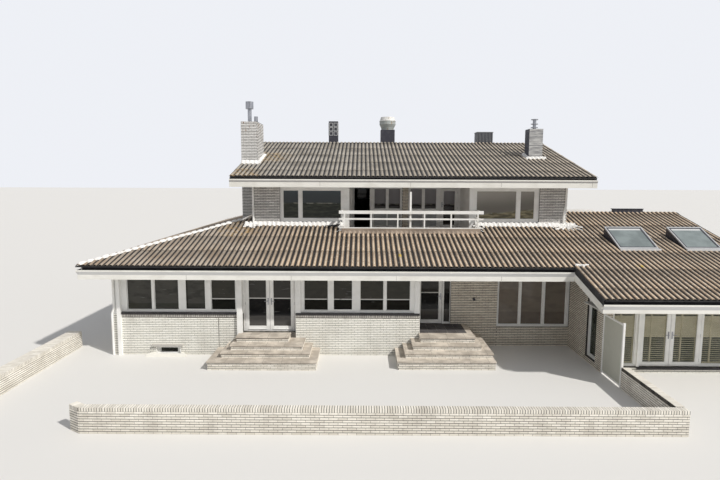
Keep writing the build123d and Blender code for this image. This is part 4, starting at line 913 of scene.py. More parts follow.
# Course on edge under the ledges, in grey painted for the shadow the ledge casts on it
edge_course = Pile()
chance = random.Random(8)
for across in (bay_wall, middle_wall):
    lay_on_edge(edge_course, front(front_face), across, on_edge, chance)
edge_course.piece("edge_course", grey_and_painted_shade_brick, "white_brick")
side_holes = openings(side_windows, sill_top, soffit)
brick_piece(
    "left_bricks", [(left(bay_left), (front_face, main_back), (0, lower_wall_top), *side_holes)],
    sunny_brick, 2,
)
brick_piece(
    "back_bricks",
    [
        (
            back(main_back), (bay_left, main_right), (0, lower_wall_top),
            *openings(back_windows, sill_top, soffit),
        ),
        (
            back(wing_back), (main_right, wing_right), (0, wing_wall_top),
            *openings(wing_windows, wing_sill, wing_soffit),
        ),
        (right(main_right), (wing_back, main_back), (0, lower_wall_top)),
    ],
    sunny_brick, 3,
)
brick_piece(
    "upper_front_bricks",
    [(front(upper_front), across, (upper_floor_top, upper_soffit)) for across in upper_piers],
    grey_brick, 4, bed=worn_joint,
)
gable_cuts = [
    ((0, y, upper_z(y) - 0.18), (0, -side * pitch, 1)) for y, side in ((upper_front, 1), (upper_back, -1))
]
gable_holes = openings(gable_windows, gable_sill, upper_soffit)
brick_piece(
    "gable_bricks",
    [
        (face, (upper_front, upper_back), (upper_floor_top, gable_top), *gable_holes)
        for face in (left(upper_left), right(upper_right))
    ],
    gable_brick, 5, gable_cuts,
)
brick_piece(
    "upper_back_bricks",
    [(
        back(upper_back), (upper_left, upper_right), (upper_floor_top, upper_wall_top),
        *openings(upper_back_windows, gable_sill, upper_soffit),
    )],
    gable_brick, 6,
)
brick_piece(
    "loggia_bricks", [(front(loggia_back), (1.855, 2.105), (loggia_floor, upper_soffit))], porch_brick, 9
)
chimney_foot = left_z(chimney_x[0])
brick_piece(
    "chimney_bricks",
    [
        (front(chimney_y[0]), chimney_x, (chimney_foot, chimney_top)),
        (back(chimney_y[1]), chimney_x, (chimney_foot, chimney_top)),
        (left(chimney_x[0]), chimney_y, (chimney_foot, chimney_top)),
        (right(chimney_x[1]), chimney_y, (chimney_right_foot, chimney_top)),
    ],
    chimney_brick, 10, bed=worn_joint,
)

# Brickwork of the steps, a dark strip under each tread's edge for its joint and the nosing's painted shadow,
# and the slabs of the landing, dark with painted shade
risers, joint_and_shadow_strips, landing = Pile(), Pile(), Pile()
chance = random.Random(11)
for fronts, sides, wall_line in (
    (left_step_fronts, left_step_sides, front_face), (right_step_fronts, right_step_sides, recess_face),
):
    for i, (edge, (near, far)) in enumerate(zip(fronts, sides)):
        tread_bottom = step_levels[i] - step_tread
        for face, across in (
            (front(edge), (near, far)), (right(far), (edge, wall_line)), (left(near), (edge, front_face)),
        ):
            lay(risers, face, across, (step_levels[i + 1], tread_bottom - joint), chance)
            # A dark strip under the tread's edge: its bed joint, with the nosing's shadow painted in
            face.box(joint_and_shadow_strips, across, (0, 0.010), (tread_bottom - 0.022, tread_bottom))
risers.piece("riser_bricks", garden_brick, "white_brick")
joint_and_shadow_strips.piece("nosing_joints_and_shadows", dark_joint, "step_stone")
# Landing slabs in near-black stone, painted for the shade that falls on them
landing_corner = (2.125, -0.115)
slab_size = (0.325, 0.37)
slab_gap = 0.006
for i in range(5):
    for j in range(3):
        near, low = landing_corner[0] + i * slab_size[0], landing_corner[1] + j * slab_size[1]
        x, y = (near, near + slab_size[0] - slab_gap), (low, low + slab_size[1] - slab_gap)
        landing.block(x, y, (step_levels[0] - 0.004, step_levels[0] + 0.006), chance.random())
landing.piece("landing_slabs", landing_painted_shade, "step_stone", bevel=0.002)


# Terrace walls: a core with bricks on its four sides, under a coping of bricks on edge


def garden_wall(cores, facing, corner, along, length, top, chance, depth):
    """One free-standing wall, whose depth goes to the left of its run."""
    inset = brick_proud + 0.001
    inwards = (-along[1], along[0])
    backwards = (-along[0], -along[1])

    def place(run, deep):
        return tuple(corner[i] + along[i] * run + inwards[i] * deep for i in (0, 1))

    outside = Face(place(0, inset), along, (-inwards[0], -inwards[1]))
    body_top = top - brick_on_edge
    outside.box(cores, (inset, length - inset), (0, 2 * inset - depth), (0, top - 0.012))
    sides = (
        (outside, (inset, length - inset)),
        (Face(place(0, depth - inset), along, inwards), (inset, length - inset)),
        (Face(place(inset, 0), inwards, backwards), (inset, depth - inset)),
        (Face(place(length - inset, 0), inwards, along), (inset, depth - inset)),
    )
    for face, across in sides:
        lay(facing, face, across, (0, body_top), chance)
    count = round((length - 2 * inset) / course)
    step = (length - 2 * inset) / count
    rows = math.ceil(depth / 0.25)
    bottom = body_top + 0.004
    for i in range(count):
        near = inset + i * step
        for row in range(rows):
            deep = (-row * (depth - 2 * inset) / rows, -(row + 1) * (depth - 2 * inset) / rows + joint)
            height = (bottom, top + chance.uniform(-0.003, 0.0))
            across = (near, near + step - joint)
            outside.box(facing, across, (deep[0] + 0.004, deep[1] - 0.004), height, chance.random())


chance = random.Random(12)
for name, node, runs in (
    ("terrace_front", "terrace_front_wall", (
        ((terrace_left, terrace_front), (1, 0), 14.48, garden_wall_top, garden_wall_depth),
        ((-6.91, -5.66), (0.851, -0.525), 0.381, garden_wall_top, garden_wall_depth),
    )),
    ("terrace_side", "terrace_side_walls", (
        ((terrace_right, -5.63), (0, 1), 2.68, garden_wall_top, garden_wall_depth),
        ((-9.93, -5.60), (0, 1), 6.27, garden_wall_top - 0.07, left_wall_depth),
    )),
):
    cores, facing = Pile(), Pile()
    for corner, along, length, top, depth in runs:
        garden_wall(cores, facing, corner, along, length, top, chance, depth)
    cores.piece(name + "_core", garden_joint, "white_brick")
    facing.piece(name + "_bricks", garden_brick, "white_brick", bevel=0.002, stands_for=[node])


# Corrugated sheets


def steps_between(start, end, step):
    """Values from start to end, with those in between on multiples of the step."""
    first = math.floor(start / step) + 1
    return [start] + [i * step for i in range(first, math.ceil(end / step)) if start < i * step < end] + [end]


def laps_between(eave, top):
    """Lines along a slope where one row of sheets ends and the next begins."""
    low, high = min(eave, top), max(eave, top)
    first = math.ceil((low - lap_line) / lap_step)
    lines = [lap_line + i * lap_step for i in range(first, first + 20)]
    inside = [line for line in lines if low + 0.2 < line < high - 0.2]
    return [eave] + (inside if top > eave else inside[::-1]) + [top]


def crest_at(place):
    """Height of the wave as a share of its rise."""
    return 0.5 + 0.5 * math.cos(2 * math.pi * place / wave)


def sheet_top(place):
    """Height of the sheets' surface above the boarding."""
    return sheet_skin + wave_rise * crest_at(place)


def sheet_rows(pile, across, eave, top, height, run_axis, seed):
    """Rows of sheets over one rectangle of a slope, each lapped over the row below it."""
    chance = random.Random(seed)
    columns = steps_between(across[0], across[1], wave / 8)
    lines = laps_between(eave, top)
    climb = 1 if top > eave else -1
    for start, end in zip(lines, lines[1:]):
        tones, shifts = {}, {}
        points, tone, crests, laps = [], [], [], []
        for place in columns:
            sheet = math.floor(place / sheet_width)
            tones.setdefault(sheet, chance.random())
            shifts.setdefault(sheet, chance.uniform(-lap_jitter, lap_jitter))
            low = start if start == eave else start - climb * (lap_cover + shifts[sheet])
            past_lap = low + climb * 0.12
            for run, rise, lap in ((low, lap_rise, 1.0), (past_lap, lap_rise * 0.9, 0.0), (end, 0.0, 0.0)):
                z = height(run) + wave_rise * crest_at(place) + rise
                points.append((place, run, z) if run_axis == "y" else (run, place, z))
                tone.append(tones[sheet])
                crests.append(crest_at(place))
                laps.append(lap)
        faces = net(len(columns), 3)
        upward = (climb > 0) == (run_axis == "y")
        pile.add(points, faces if upward else turned_over(faces), tone, crests, laps)


def thicken(piece):
    """Give a single skin the thickness of a sheet."""
    skin = piece.modifiers.new("skin", "SOLIDIFY")
    skin.thickness = sheet_skin
    skin.offset = 1.0


def sheet_piece(name, rectangles, height, run_axis, seed, material, cuts=(), stands_for=()):
    """The sheets of one slope: each rectangle has its sides, its eave and its top."""
    pile = Pile()
    for i, (across, eave, top) in enumerate(rectangles):
        sheet_rows(pile, across, eave, top, height, run_axis, seed + i)
    piece = pile.piece(name, material, "roof_sheet", smooth=True, stands_for=stands_for)
    for place, direction in cuts:
        cut_away(piece, place, direction)
    thicken(piece)


sheet_piece(
    "lower_front_sheets",
    [
        ((left_eave, upper_left), lower_eave, hip_front),
        ((upper_left, balcony_left), lower_eave, upper_front),
        ((balcony_left, balcony_right), lower_eave, balcony_front),
        ((balcony_right, wing_verge), lower_eave, upper_front),
    ],
    lower_z, "y", 10, lower_sheet, [((left_eave, lower_eave, 0), (-1, 1, 0))], ["lower_sheets"],
)
sheet_piece(
    "left_sheets",
    [
        ((lower_eave, chimney_y[0]), left_eave, upper_left),
        (chimney_y, left_eave, chimney_x[0]),
        ((chimney_y[1], back_eave), left_eave, upper_left),
    ],
    left_z, "x", 20, lower_sheet,
    [((left_eave, lower_eave, 0), (1, -1, 0)), ((left_eave, back_eave, 0), (1, 1, 0))],
)
sheet_piece(
    "lower_back_sheets",
    [((left_eave, upper_left), back_edge, hip_back), ((upper_left, back_verge), back_edge, upper_back)],
    back_z, "y", 30, lower_sheet, [((left_eave, back_eave, 0), (-1, -1, 0))],
)
light_edges = [wing_verge, *skylights[0], *skylights[1], wing_right]
wing_parts = [((wing_verge, upper_right), wing_eave, upper_front)]
for near, far in zip(light_edges, light_edges[1:]):
    start = max(near, upper_right)
    if (near, far) in skylights:
        wing_parts += [((near, far), wing_eave, skylight_run[0]), ((near, far), skylight_run[1], wing_ridge)]
    elif far > start:
        wing_parts.append(((start, far), wing_eave, wing_ridge))
sheet_piece("wing_front_sheets", wing_parts, lower_z, "y", 40, lower_sheet, stands_for=["wing_sheets"])
sheet_piece(
    "wing_back_sheets", [((upper_right, wing_right), wing_eave_back, wing_ridge)],
    wing_back_z, "y", 50, lower_sheet,
)
sheet_piece(
    "upper_front_sheets",
    [
        ((upper_verge_left, upper_left), upper_eave, chimney_y[0]),
        ((upper_verge_left, upper_left), chimney_y[1], ridge_line),
        ((upper_left, upper_verge_right), upper_eave, ridge_line),
    ],
    upper_z, "y", 60, upper_sheet, stands_for=["upper_sheets"],
)
sheet_piece(
    "upper_back_sheets", [((upper_verge_left, upper_verge_right), upper_eave_back, ridge_line)],
    upper_z, "y", 70, upper_sheet,
)


def ridge_cap(name, across, line, height, material):
    """A cap over a ridge that follows the waves of the sheets."""
    pile = Pile()
    columns = steps_between(across[0], across[1], wave / 8)
    points, crests = [], []
    for place in columns:
        for away, lift in ((-0.20, 0.004), (-0.05, 0.010), (0.05, 0.010), (0.20, 0.004)):
            points.append((place, line + away, height(line + away) + sheet_top(place) + lap_rise + lift))
            crests.append(crest_at(place))
    pile.add(points, net(len(columns), 4), 0.5, crests)
    thicken(pile.piece(name, material, "roof_sheet", smooth=True))


def wing_roof_z(y):
    """Boarding of the wing on both sides of its ridge."""
    return min(lower_z(y), wing_back_z(y))


ridge_cap("upper_ridge", (upper_verge_left, upper_verge_right), ridge_line, upper_z, upper_sheet)
ridge_cap("wing_ridge_cap", (upper_right, wing_right), wing_ridge, wing_roof_z, lower_sheet)

# Bolts through two of a sheet's five crests, above each lap
bolts = Pile()


def bolt_row(across, line, height, climb):
    """Bolt heads along one lap of a slope that rises along y."""
    for crest in range(math.ceil(across[0] / wave), math.floor(across[1] / wave) + 1):
        if crest % 5 in (1, 3):
            x, y, z = crest * wave, line + climb * 0.03, height(line) + sheet_top(0) + lap_rise
            bolts.tube([(x, y, z - 0.01), (x, y, z + 0.004), (x, y, z + 0.012)], [0.016, 0.016, 0.006], 8)


for line in (lap_line, lap_line + lap_step):
    sheets_end = balcony_left if line > balcony_front else wing_verge
    bolt_row((left_eave + line - lower_eave + 0.1, sheets_end), line, lower_z, 1)
for line in laps_between(wing_eave, wing_ridge)[1:-1]:
    bolt_row((wing_verge if line < upper_front else upper_right, 9.0), line, lower_z, 1)
for line in laps_between(upper_eave, ridge_line)[1:-1]:
    bolt_row((upper_verge_left if line > chimney_y[1] else upper_left, 7.1), line, upper_z, 1)
    bolt_row((upper_verge_left, upper_verge_right), 2 * ridge_line - line, upper_z, -1)
bolts.piece("roof_bolts", dark_metal, "dark_metal", smooth=True)


# White mortar along hips, walls and chimneys
chance = random.Random(13)


def mound(pile, path, width, height, chunk, waist=0.5):
    """A lumpy half-round band of mortar along a path, in one lump for each chunk of its length."""
    path = [Vector(place) for place in path]
    profile = ((-0.5, -0.25), (-0.42, 0.45), (-0.18, 0.92), (0.18, 0.92), (0.42, 0.45), (0.5, -0.25))
    for start, end in zip(path, path[1:]):
        along = (end - start).normalized()
        aside = along.cross(Vector((0, 0, 1))).normalized()
        count = max(1, round((end - start).length / chunk))
        rings = []
        for i in range(count):
            wide = width * chance.uniform(0.8, 1.15)
            high = height * chance.uniform(0.8, 1.15)
            for share, size in ((0.02, waist), (0.22, 1.0), (0.75, 0.95), (0.96, waist)):
                middle = start.lerp(end, (i + share) / count)
                for out, up in profile:
                    lump = chance.uniform(0.85, 1.15)
                    rise = Vector((0, 0, up * high * size))
                    rings.append(tuple(middle + aside * out * wide * size * lump + rise))
        pile.add(rings, turned_over(net(4 * count, len(profile))))


def apron(pile, face, across, reach, rise, surface):
    """Mortar between the sheets and a wall, with a ragged lower edge."""
    columns = steps_between(across[0], across[1], wave / 4)
    points = []
    for u in columns:
        far = near_ends(u, *reach) * chance.uniform(0.75, 1.2)
        for share, lift in ((1.0, -0.02), (0.7, 0.35), (0.3, 0.8), (0.0, 1.0)):
            x, y, _ = face.at(u, far * share, 0)
            points.append((x, y, surface(x, y) + rise * lift * chance.uniform(0.85, 1.1)))
    faces = []
    for i in range(len(columns) - 1):
        faces += [(4 * i + k, 4 * i + 1 + k, 4 * i + 5 + k, 4 * i + 4 + k) for k in range(3)]
    pile.add(points, faces if face.turned else turned_over(faces))


def near_ends(u, short, tall, *ends):
    """The mortar's reach at a place: it grows towards some ends of a wall, where it spreads into a star."""
    return short + sum(tall * math.exp(-(((u - end) / 0.14) ** 2)) for end in ends)


def on_lower(x, y):
    """The sheets of the front slopes."""
    return lower_z(y) + sheet_top(x)


def on_left(x, y):
    """The sheets of the left slope."""
    return left_z(x) + sheet_top(y)


def on_back(x, y):
    """The sheets of the lower back slope."""
    return back_z(y) + sheet_top(x)


def on_upper(x, y):
    """The sheets of the upper roof."""
    return upper_z(y) + sheet_top(x)


hips = Pile()
hip_start = left_eave + 0.06
hip_rise = 0.035
for eave_y, top_y in ((lower_eave, hip_front), (back_eave, hip_back)):
    foot = (hip_start, eave_y + math.copysign(0.06, top_y - eave_y), left_z(hip_start) + hip_rise)
    mound(hips, [foot, (upper_left, top_y, left_z(upper_left) + hip_rise)], 0.19, 0.075, wave * math.sqrt(2))
hips.piece("hip_mortar", mortar, "stone", smooth=True)

bedding, torn, parapet_edge = Pile(), Pile(), Pile()
to_chimney, past_chimney = (upper_front - 0.1, chimney_y[0]), (chimney_y[1], upper_back)
beside_balcony = (balcony_front, upper_front)
beside_clad = (clad_y[0] - 0.1, clad_y[1] + 0.1)
for face, across, reach, rise, surface in (
    (front(upper_front), (upper_left - 0.3, balcony_left + 0.05), (0.17, 0.22, upper_left, balcony_left),
     0.10, on_lower),
    (front(upper_front), (balcony_right - 0.05, upper_right + 0.35), (0.17, 0.30, upper_right, balcony_right),
     0.10, on_lower),
    (left(upper_left), to_chimney, (0.14, 0.3, upper_front), 0.10, on_left),
    (left(upper_left), past_chimney, (0.14, 0.0), 0.10, on_left),
    (right(upper_right), (upper_front - 0.1, wing_ridge), (0.13, 0.3, upper_front), 0.10, on_lower),
    (back(upper_back), (upper_left, upper_right), (0.14, 0.0), 0.10, on_back),
    (left(balcony_left), beside_balcony, (0.10, 0.12, balcony_front), 0.07, on_lower),
    (right(balcony_right), beside_balcony, (0.10, 0.12, balcony_front), 0.07, on_lower),
    (front(chimney_y[0]), (chimney_x[0] - 0.02, chimney_x[1] + 0.15), (0.16, 0.05), 0.12, on_upper),
    (right(chimney_x[1]), (chimney_y[0] - 0.05, chimney_y[1] + 0.05), (0.13, 0.0), 0.09, on_upper),
    (back(chimney_y[1]), chimney_x, (0.12, 0.0), 0.10, on_upper),
    (front(clad_y[0]), (clad_x[0] - 0.12, clad_x[1] + 0.15), (0.17, 0.0), 0.06, on_upper),
    (left(clad_x[0]), beside_clad, (0.12, 0.0), 0.06, on_upper),
    (right(clad_x[1]), beside_clad, (0.12, 0.0), 0.06, on_upper),
):
    apron(bedding, face, across, reach, rise, surface)

# Fingers of mortar or torn flashing that spread over the sheets from a corner: angle in plan, and length
for pile, middle, strokes in (
    (bedding, (upper_right - 0.02, upper_front - 0.08), (
        (-168, 0.62), (-146, 0.72), (-124, 0.58), (-98, 0.66),
        (-72, 0.56), (-50, 0.70), (-26, 0.62), (-2, 0.46),
    )),
    (bedding, (upper_left + 0.02, upper_front - 0.08), (
        (-170, 0.34), (-138, 0.44), (-105, 0.36), (-70, 0.46), (-35, 0.40),
    )),
    (bedding, (balcony_right, upper_front - 0.10), ((-150, 0.22), (-110, 0.42), (-75, 0.50), (-40, 0.36))),
    (bedding, (balcony_left, upper_front - 0.10), ((-170, 0.30), (-125, 0.36), (-95, 0.50))),
    (bedding, (wing_verge + 0.05, lower_eave + 0.16), ((4, 0.46), (-24, 0.30))),
    (torn, (balcony_left - 0.05, upper_front - 0.16), ((-178, 0.62), (-160, 0.48), (-140, 0.30))),
    (torn, (balcony_right + 0.05, upper_front - 0.22), ((-12, 0.22), (-40, 0.18))),
):
    for angle, length in strokes:
        turn = math.radians(angle + chance.uniform(-6, 6))
        path = []
        for share in (0.0, 0.35, 0.7, 1.0):
            x = middle[0] + math.cos(turn) * length * share
            y = middle[1] + math.sin(turn) * length * share
            path.append((x, y, on_lower(x, y) + 0.014))
        mound(pile, path, chance.uniform(0.055, 0.10), 0.045, 0.16, 0.8)
bedding.piece("wall_mortar", mortar, "stone", smooth=True)
torn.piece("torn_flashing", under_roof, "stone", smooth=True)
apron(parapet_edge, front(balcony_front), (balcony_left, balcony_right), (0.10, 0.0), 0.05, on_lower)
parapet_edge.piece("parapet_flashing", parapet_coat, "rail", smooth=True)


# Windows: panes with glazing beads behind the frames' faces


def glaze(glass, beads, face, span, height, tone=1.0):
    """One pane with the beads around it."""
    face.box(glass, span, (-glass_back, -glass_front), height, tone)
    face.rails(beads, span, (-glass_front, -bead_front), height, bead)


def two_panes(windows):
    """Pairs of equal panes of windows that are alike."""
    half = (windows[1] - 3 * frame_bar) / 2
    return [
        (side, side + half)
        for low, high in spread(windows)
        for side in (low + frame_bar, high - frame_bar - half)
    ]


pane_height = (sill_top + frame_bar, soffit - frame_bar)
wing_height = (wing_floor + frame_bar, wing_soffit - frame_bar)
upper_height = (upper_sill + upper_rail, upper_soffit - upper_rail)
gable_height = (gable_sill + frame_bar, upper_soffit - frame_bar)
loggia_height = (4.76, 5.659)
lower_beads, upper_beads = Pile(), Pile()
for name, material, beads, stands_for, windows in (
    ("bay_panes", bay_glass, lower_beads, ["lower_glass"], (
        (front(front_face), bay_panes[:3], pane_height),
    )),
    ("middle_panes", middle_glass, lower_beads, [], (
        (front(front_face), bay_panes[3:] + middle_panes, pane_height),
    )),
    ("recess_panes", recess_glass, lower_beads, [], (
        (front(recess_face), recess_panes, (recess_sill + frame_bar, pane_height[1])),
    )),
    ("wing_panes", shutter_glass, lower_beads, [], (
        (front(wing_front), wing_panes, wing_height),
        (left(wing_left), ((side_light[0] + frame_bar, side_light[1] - frame_bar),), wing_height),
    )),
    ("back_panes", plain_glass, lower_beads, [], (
        (left(bay_left), two_panes(side_windows), pane_height),
        (back(main_back), two_panes(back_windows), pane_height),
        (back(wing_back), two_panes(wing_windows), (wing_sill + frame_bar, wing_height[1])),
        (front(front_face), (basement_pane,), (0.06, 0.24)),
    )),
    ("upper_left_panes", upper_left_glass, upper_beads, ["upper_glass"], (
        (front(upper_front), upper_left_panes, upper_height),
    )),
    ("upper_right_panes", upper_right_glass, upper_beads, [], (
        (front(upper_front), upper_right_panes, upper_height),
    )),
    ("loggia_panes_glass", loggia_glass, upper_beads, [], (
        (front(loggia_back), loggia_panes, loggia_height),
    )),
    ("upper_back_panes", plain_glass, upper_beads, [], (
        (left(upper_left), two_panes(gable_windows), gable_height),
        (right(upper_right), two_panes(gable_windows), gable_height),
        (back(upper_back), two_panes(upper_back_windows), gable_height),
    )),
):
    glass = Pile()
    for face, spans, height in windows:
        for span in spans:
            glaze(glass, beads, face, span, height)
    glass.piece(name, material, "glass", stands_for=stands_for)

# Opening casements, of the lower front and of the loggia
for span in (bay_panes[2], middle_panes[1]):
    front(front_face).rails(lower_beads, span, (-frame_front, -frame_front + 0.02), pane_height, 0.045)
for span in loggia_panes:
    front(loggia_back).rails(upper_beads, span, (-frame_front, -frame_front + 0.015), loggia_height, 0.03)
lower_beads.piece("lower_beads", white_paint, "white_paint", bevel=0.002)
upper_beads.piece("upper_beads", white_paint, "white_paint", bevel=0.002)

panels = Pile()
for span in loggia_panes:
    front(loggia_back).box(panels, span, (-glass_back, -glass_front), (4.03, 4.56))
panels.piece("loggia_panels", panel_paint, "white_paint")


# Door leaves


def door_leaf(name, face, span, height, glass, body, hinge_at_start, stands_for=()):
    """A glazed leaf: stiles, rails, beads, a pane, a weather bar, hinges and a lever handle."""
    wood, pane, fittings = Pile(), Pile(), Pile()
    inner = (span[0] + leaf_stile, span[1] - leaf_stile)
    light = (height[0] + leaf_bottom_rail, height[1] - leaf_top_rail)
    depth = (-leaf_depth, 0)
    face.box(wood, (span[0], inner[0]), depth, height)
    face.box(wood, (inner[1], span[1]), depth, height)
    face.box(wood, inner, depth, (height[0], light[0]))
    face.box(wood, inner, depth, (light[1], height[1]))
    face.rails(wood, inner, (-0.021, -0.006), light, bead)
    face.rails(wood, inner, (-0.045, -0.030), light, bead)
    face.box(wood, (span[0] + 0.10, span[1] - 0.10), (0, 0.022), (height[0] + 0.02, height[0] + 0.05))
    face.box(pane, inner, (-0.030, -0.021), light, 1.0)
    hinge_side, free_side = span if hinge_at_start else (span[1], span[0])
    turn = 1 if hinge_at_start else -1
    for share in (0.1, 0.5, 0.9):
        z = height[0] + share * (height[1] - height[0])
        knuckle = face.at(hinge_side, 0, 0)[:2]
        fittings.tube([(*knuckle, z - 0.05), (*knuckle, z + 0.05)], 0.0045, 12)
    grip = free_side - turn * leaf_stile / 2
    level = height[0] + handle_height
    face.box(fittings, (grip - 0.018, grip + 0.018), (0, 0.006), (level - 0.13, level + 0.10))
    fittings.tube(
        [face.at(grip, 0, level), face.at(grip, 0.045, level), face.at(grip - turn * 0.01, 0.055, level),
         face.at(grip - turn * 0.12, 0.055, level)],
        0.010, 12,
    )
    wood.piece(name + "_frame", white_paint, "white_paint", body, bevel=0.003, stands_for=stands_for)
    pane.piece(name + "_pane", glass, "glass", body)
    fittings.piece(name + "_fittings", steel, "steel", body, bevel=0.001, smooth=True)


house_doors = (0.836, 2.704)
wing_doors = (0.206, 2.200)
for name, face, span, height, glass, hinge_at_start in (
    ("terrace_door_left", front(terrace_leaves), (-3.884, -3.045), house_doors, door_glass, True),
    ("terrace_door_right", front(terrace_leaves), (-3.035, -2.196), house_doors, door_glass, False),
    ("entrance_door", front(entrance_leaf), (2.166, 3.050), (0.806, 2.704), door_glass, True),
    ("wing_door_left", front(wing_leaves), (8.876, 9.820), wing_doors, shutter_glass, True),
    ("wing_door_right", front(wing_leaves), (9.830, 10.774), wing_doors, shutter_glass, False),
):
    door_leaf(name + "_leaf", face, span, height, glass, name, hinge_at_start, [name])
loggia_leaf = (3.956, 5.653)
for name, face, span, glass, hinge_at_start, stands_for in (
    ("loggia_right_leaf", front(loggia_leaves), (3.506, 4.224), loggia_glass, False, ["loggia_doors"]),
    ("loggia_left_leaf", right(-0.214), (5.176, 5.894), under_roof, True, []),
):
    door_leaf(name, face, span, loggia_leaf, glass, "house", hinge_at_start, stands_for)

porch_light = Pile()
glaze(porch_light, porch_light, front(recess_face), (3.120, 3.330), (0.87, 2.704))
porch_light.piece("porch_light", door_glass, "glass")

# Shutters behind the glass of the wing: on the frames, and on the backs of the two leaves
shutter_bar = 0.045
shutter_depth = 0.04
closed_slats = (1.08, 1.79)
slat_step = 0.067


def shutter(pile, face, span, behind):
    """One shutter of slats, closed across its middle, at a distance behind the face."""
    low, high = wing_height
    depth = (-behind - shutter_depth, -behind)
    face.rails(pile, span, depth, wing_height, shutter_bar)
    stile = span[0] + 0.36 * (span[1] - span[0])
    for sides in ((span[0] + shutter_bar, stile - 0.02), (stile + 0.02, span[1] - shutter_bar)):
        for i in range(int((high - low - 2 * shutter_bar) / slat_step)):
            z = low + 0.05 + i * slat_step
            closed = closed_slats[0] < z < closed_slats[1]
            deep = (-behind - 0.022, -behind - 0.014) if closed else (-behind - 0.032, -behind - 0.008)
            face.box(pile, sides, deep, (z, z + (slat_step - 0.004 if closed else 0.016)))
    face.box(pile, (stile - 0.02, stile + 0.02), depth, (low + shutter_bar, high - shutter_bar))


shutters = Pile()
for span in wing_panes:
    shutter(shutters, front(wing_front), span, 0.13)
shutters.piece("wing_shutters", shutter_paint, "white_paint")
for body, span in (("wing_door_left", (8.965, 9.731)), ("wing_door_right", (9.919, 10.685))):
    leaf_shutter = Pile()
    shutter(leaf_shutter, front(wing_leaves), span, leaf_depth)
    leaf_shutter.piece(body + "_shutter", shutter_paint, "white_paint", body)

# Chimneys, vents and skylights
stack = Pile()
vent_back = vent_front + stack_depth
for face, (start, end) in (
    (front(vent_front), stack_x), (back(vent_back), stack_x),
    (left(stack_x[0]), (vent_front, vent_back)), (right(stack_x[1]), (vent_front, vent_back)),
):
    for middle in ((start * 3 + end) / 4, (start + end * 3) / 4):
        for row in range(3):
            low = stack_foot + row * 0.21
            face.rails(stack, (middle - 0.09, middle + 0.09), (0, 0.012), (low, low + 0.18), 0.018)
stack.piece("stack_louvres", louvre_paint, "dark_metal")

ribs = Pile()
for face in (front(vent_front), back(vent_front + box_depth)):
    for i in range(11):
        middle = box_x[0] + 0.035 + i * 0.07
        face.box(ribs, (middle - 0.012, middle + 0.012), (0, 0.02), (7.85, 8.30))
ribs.block(
    (box_x[0] - 0.02, box_x[1] + 0.02), (vent_front - 0.03, vent_front + box_depth + 0.03), (8.315, 8.345)
)
ribs.piece("vent_ribs", light_frame, "dark_metal", bevel=0.003)

rims = Pile()
rim_turns = [2 * math.pi * i / 40 for i in range(41)]
for radius, z, thick in ((0.385, 8.712, 0.018), (0.385, 8.872, 0.020), (0.30, 8.52, 0.02)):
    x, y = drum_middle
    rims.tube([(x + radius * math.cos(turn), y + radius * math.sin(turn), z) for turn in rim_turns], thick, 8)
rims.piece("cowl_rims", cowl, "steel", smooth=True)


def slab(pile, x, shares, lift):
    """A slab on a skylight, between two x and two shares of the way up it, as thick as the lift."""
    low = lower_z(skylight_run[0]) + skylight_lip
    high = lower_z(skylight_run[1]) + skylight_rise
    places = []
    for i in range(8):
        share = shares[i >> 1 & 1]
        y = skylight_run[0] + share * (skylight_run[1] - skylight_run[0])
        places.append((x[i & 1], y, low + share * (high - low) + (0, lift)[i >> 2 & 1]))
    pile.add(places, cell_sides)


def slab_frame(pile, near, far, outer, inner, lift):
    """Four slabs around a skylight, between two distances from its edge."""
    run = skylight_run[1] - skylight_run[0]
    start, end = outer / run, inner / run
    slab(pile, (near + outer, far - outer), (start, end), lift)
    slab(pile, (near + outer, far - outer), (1 - end, 1 - start), lift)
    slab(pile, (near + outer, near + inner), (end, 1 - end), lift)
    slab(pile, (far - inner, far - outer), (end, 1 - end), lift)


frames, borders, flashings, panes = Pile(), Pile(), Pile(), Pile()
for near, far in skylights:
    slab_frame(frames, near, far, 0, skylight_edge, 0.05)
    slab_frame(borders, near, far, skylight_edge, skylight_border, 0.042)
    share = skylight_border / (skylight_run[1] - skylight_run[0])
    slab(panes, (near + skylight_border, far - skylight_border), (share, 1 - share), 0.03)
    low = lower_z(skylight_run[0]) + skylight_lip
    for pile, gap, rise in ((borders, (0.05, 0), 0.03), (flashings, (0.13, 0.05), 0.04)):
        y = (skylight_run[0] - gap[0], skylight_run[0] - gap[1])
        pile.block((near - 0.02, far + 0.02), y, (low - 0.03, low + rise))
frames.piece("skylight_frames", pale_frame, "dark_metal", bevel=0.003)
borders.piece("skylight_borders", dark_metal, "dark_metal")
flashings.piece("skylight_flashings", louvre_paint, "dark_metal", bevel=0.003)
panes.piece("skylight_panes", blind_glass, "glass", stands_for=["skylight_glass"])

block_piece(
    "ridge_board", white_paint, "white_paint",
    [((8.77, 9.85), (wing_ridge - 0.02, wing_ridge + 0.02), (4.66, 4.80))],
)
block_piece(
    "ridge_vent", dark_metal, "dark_metal",
    [((10.70, 11.94), (wing_ridge - 0.09, wing_ridge + 0.09), (4.66, 4.82)),
     ((10.67, 11.97), (wing_ridge - 0.12, wing_ridge + 0.12), (4.82, 4.845))],
    bevel=0.006,
)

# Painted shadow of the sheets' edge: a dark strip along the top of the wing's verge board, under the sheets
strip = Pile()
strip_ends = (wing_eave, lower_eave + 0.16)
strip.add(
    [(wing_verge + (i & 1) * 0.006 - 0.005, strip_ends[i >> 1 & 1],
      lower_z(strip_ends[i >> 1 & 1]) + (-0.17, 0.03)[i >> 2 & 1]) for i in range(8)],
    cell_sides,
)
strip.piece("verge_painted_shadow", under_roof, "dark_metal")

